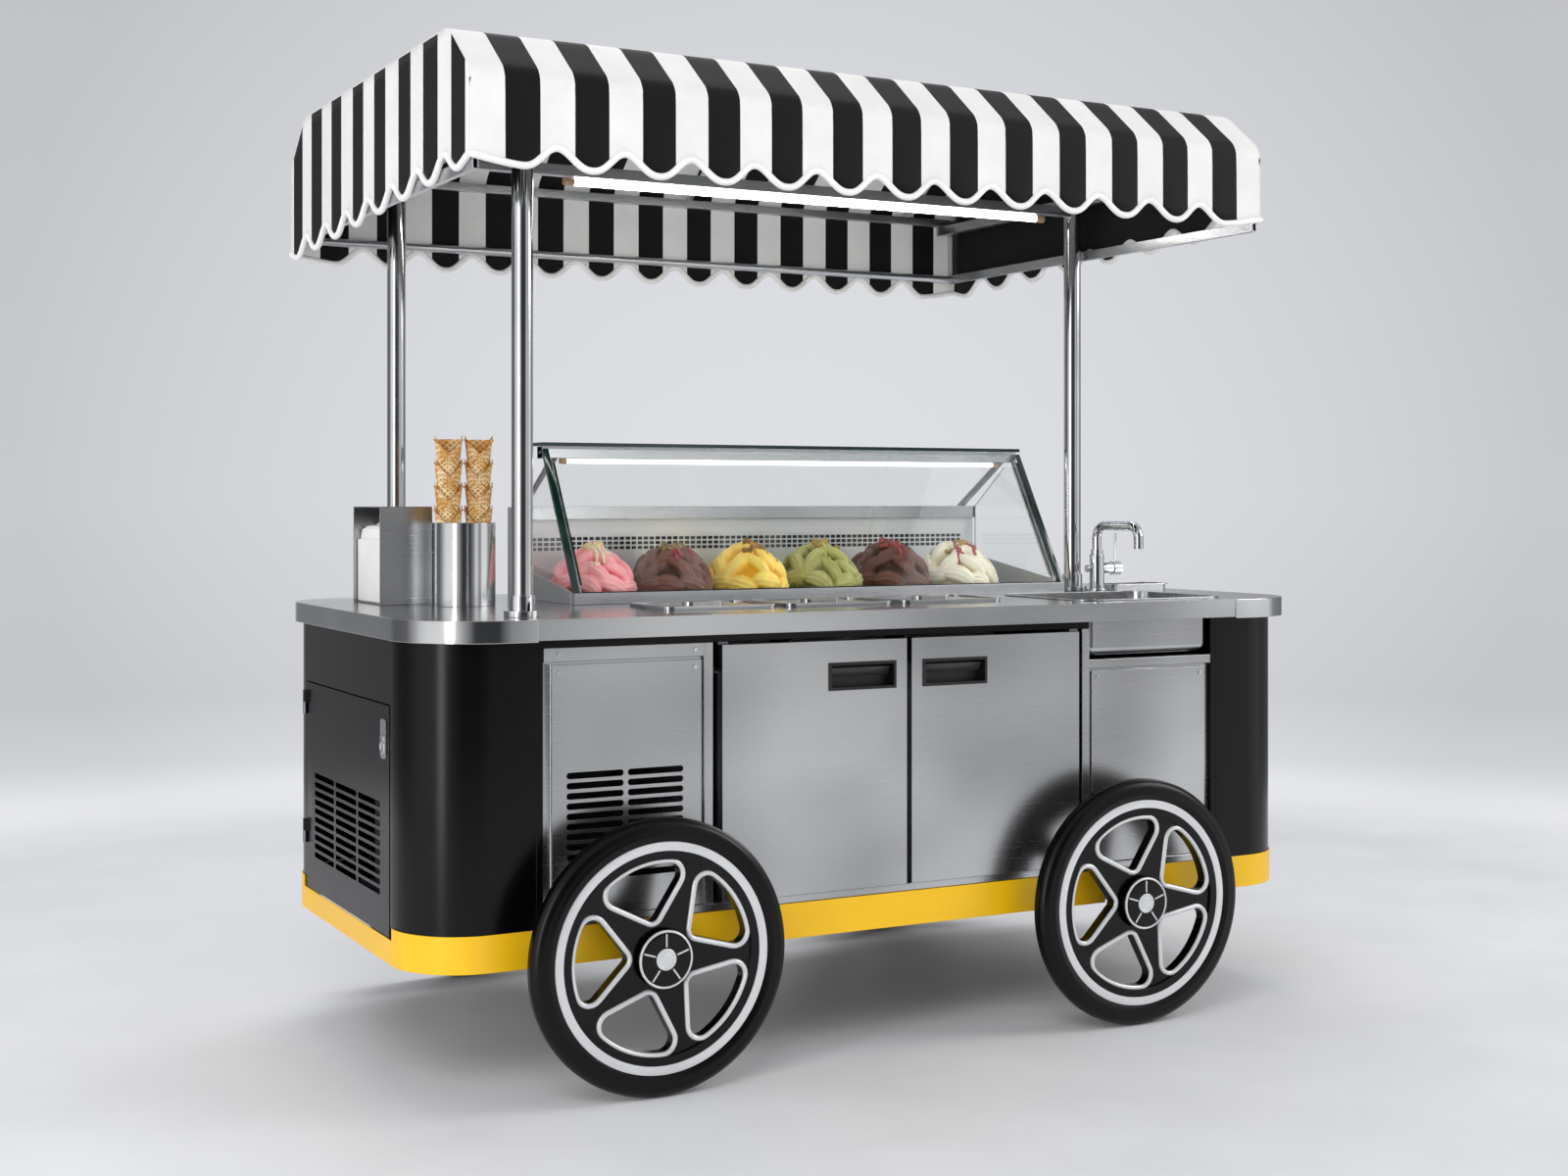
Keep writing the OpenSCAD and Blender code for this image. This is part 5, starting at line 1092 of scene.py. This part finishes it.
ambient = addNode(tree, "Background", {"Color": linear("#f3f4f6"), "Strength": studio["ambient"]})
rays = addNode(tree, "LightPath")
seen = addNode(tree, "Math", {"operation": "MAXIMUM"},
               {0: rays.outputs["Is Camera Ray"], 1: rays.outputs["Is Glossy Ray"]})
seen = addNode(tree, "Math", {"operation": "MAXIMUM"},
               {0: seen.outputs["Value"], 1: rays.outputs["Is Transmission Ray"]})
chosen = addNode(tree, "MixShader", None, {"Fac": seen.outputs["Value"], 1: ambient.outputs["Background"],
                                           2: backdrop.outputs["Background"]})
tree.links.new(chosen.outputs["Shader"], tree.nodes["World Output"].inputs["Surface"])

# Studio wall round the set, seen only where metal and glass mirror it: tones by the angle round the cart
mirrorWall = {
    "radius": 5.5, "low": -0.2, "high": 4.6,
    "tones": [(-180, "#f0f0f1"), (-172, "#ffffff"), (-146, "#ffffff"), (-134, "#b2b3b5"), (-122, "#3e3f41"),
              (-95, "#363739"), (-82, "#8a8b8d"), (-72, "#e0e1e2"), (-66, "#ececed"), (-61, "#b8b9bb"),
              (-56, "#939496"), (-51, "#a4a5a7"), (-45, "#f4f4f5"), (-22, "#f4f4f5"), (-10, "#98999b"),
              (20, "#777879"), (45, "#b8b9bb"), (62, "#cdced0"), (92, "#c6c7c9"), (113, "#8b8c8e"),
              (136, "#67686a"), (160, "#747577"), (172, "#bfc0c2"), (180, "#f0f0f1")],
}
# Painted studio wall, which glows with the light that it would send back
glowing = {"Base Color": (0, 0, 0, 1), "Specular IOR Level": 0.0, "Emission Strength": 1.0}
made, tree, shader = startMaterial("studio_wall_paint", glowing)
where = addNode(tree, "TexCoord")
parts = addNode(tree, "SeparateXYZ", None, {"Vector": where.outputs["Object"]})
turn = addNode(tree, "Math", {"operation": "ARCTAN2"}, {0: parts.outputs["Y"], 1: parts.outputs["X"]})
share = addNode(tree, "MapRange", {"From Min": -math.pi, "From Max": math.pi},
                {"Value": turn.outputs["Value"]})
stops = [((angle + 180) / 360, code) for angle, code in mirrorWall["tones"]]
tones = addNode(tree, "ValToRGB", {"stops": stops}, {"Fac": share.outputs["Result"]})
tree.links.new(tones.outputs["Color"], shader.inputs["Emission Color"])
made.cycles.emission_sampling = "NONE"
bm = bmesh.new()
bmesh.ops.create_circle(bm, cap_ends=False, radius=mirrorWall["radius"], segments=96)
bmesh.ops.translate(bm, verts=bm.verts, vec=(0, 0, mirrorWall["low"]))
raised = bmesh.ops.extrude_edge_only(bm, edges=list(bm.edges))["geom"]
raised = [g for g in raised if isinstance(g, bmesh.types.BMVert)]
bmesh.ops.translate(bm, verts=raised, vec=(0, 0, mirrorWall["high"] - mirrorWall["low"]))
ring = staged("studio_wall", bm, made)
ring.visible_camera = False
ring.visible_diffuse = False
ring.visible_shadow = False
ring.visible_transmission = False

# Soft boxes, in metres and watts, all turned to the middle of the cart
aim = Vector((0, 0, 0.9))
softBoxes = {
    "key": {"at": (-3.2, -3.6, 4.2), "size": (3.0, 2.2), "watts": 76, "mirrored": False},
    "side": {"at": (4.2, -2.6, 3.2), "size": (2.4, 2.4), "watts": 88, "mirrored": True},
    "top": {"at": (0.3, 1.8, 4.6), "size": (3.5, 2.0), "watts": 70, "mirrored": True},
    "front": {"at": (-0.6, -5.2, 1.0), "size": (5.0, 1.4), "watts": 56, "mirrored": False},
    "left": {"at": (-5.2, 0.6, 1.5), "size": (2.6, 2.4), "watts": 60, "mirrored": False},
    "strip": {"at": (-3.9, -2.45, 1.2), "size": (0.6, 2.6), "watts": 28, "mirrored": True},
}
for name, box in softBoxes.items():
    lamp = bpy.data.lights.new(name + "_softbox", "AREA")
    lamp.shape = "RECTANGLE"
    lamp.size, lamp.size_y = box["size"]
    lamp.energy = box["watts"]
    holder = placed(name + "_softbox", lamp)
    holder.location = box["at"]
    holder.visible_glossy = box["mirrored"]
    holder.rotation_euler = (aim - Vector(box["at"])).to_track_quat("-Z", "Y").to_euler()

# Camera solved from the photograph: level, with the frame shifted down
eye = {"at": (-2.2375, -4.1092, 1.1455), "turn": -28.0711, "lens": 46.443, "sensor": 36, "shift": -0.05575}
lens = bpy.data.cameras.new("photo_camera")
lens.sensor_fit = "HORIZONTAL"
lens.sensor_width = eye["sensor"]
lens.lens = eye["lens"]
lens.shift_y = eye["shift"]
camera = placed("photo_camera", lens)
camera.location = eye["at"]
camera.rotation_euler = (math.radians(90), 0, math.radians(eye["turn"]))
bpy.context.scene.camera = camera
bpy.context.scene.view_settings.view_transform = "Standard"
print("studio and camera set")
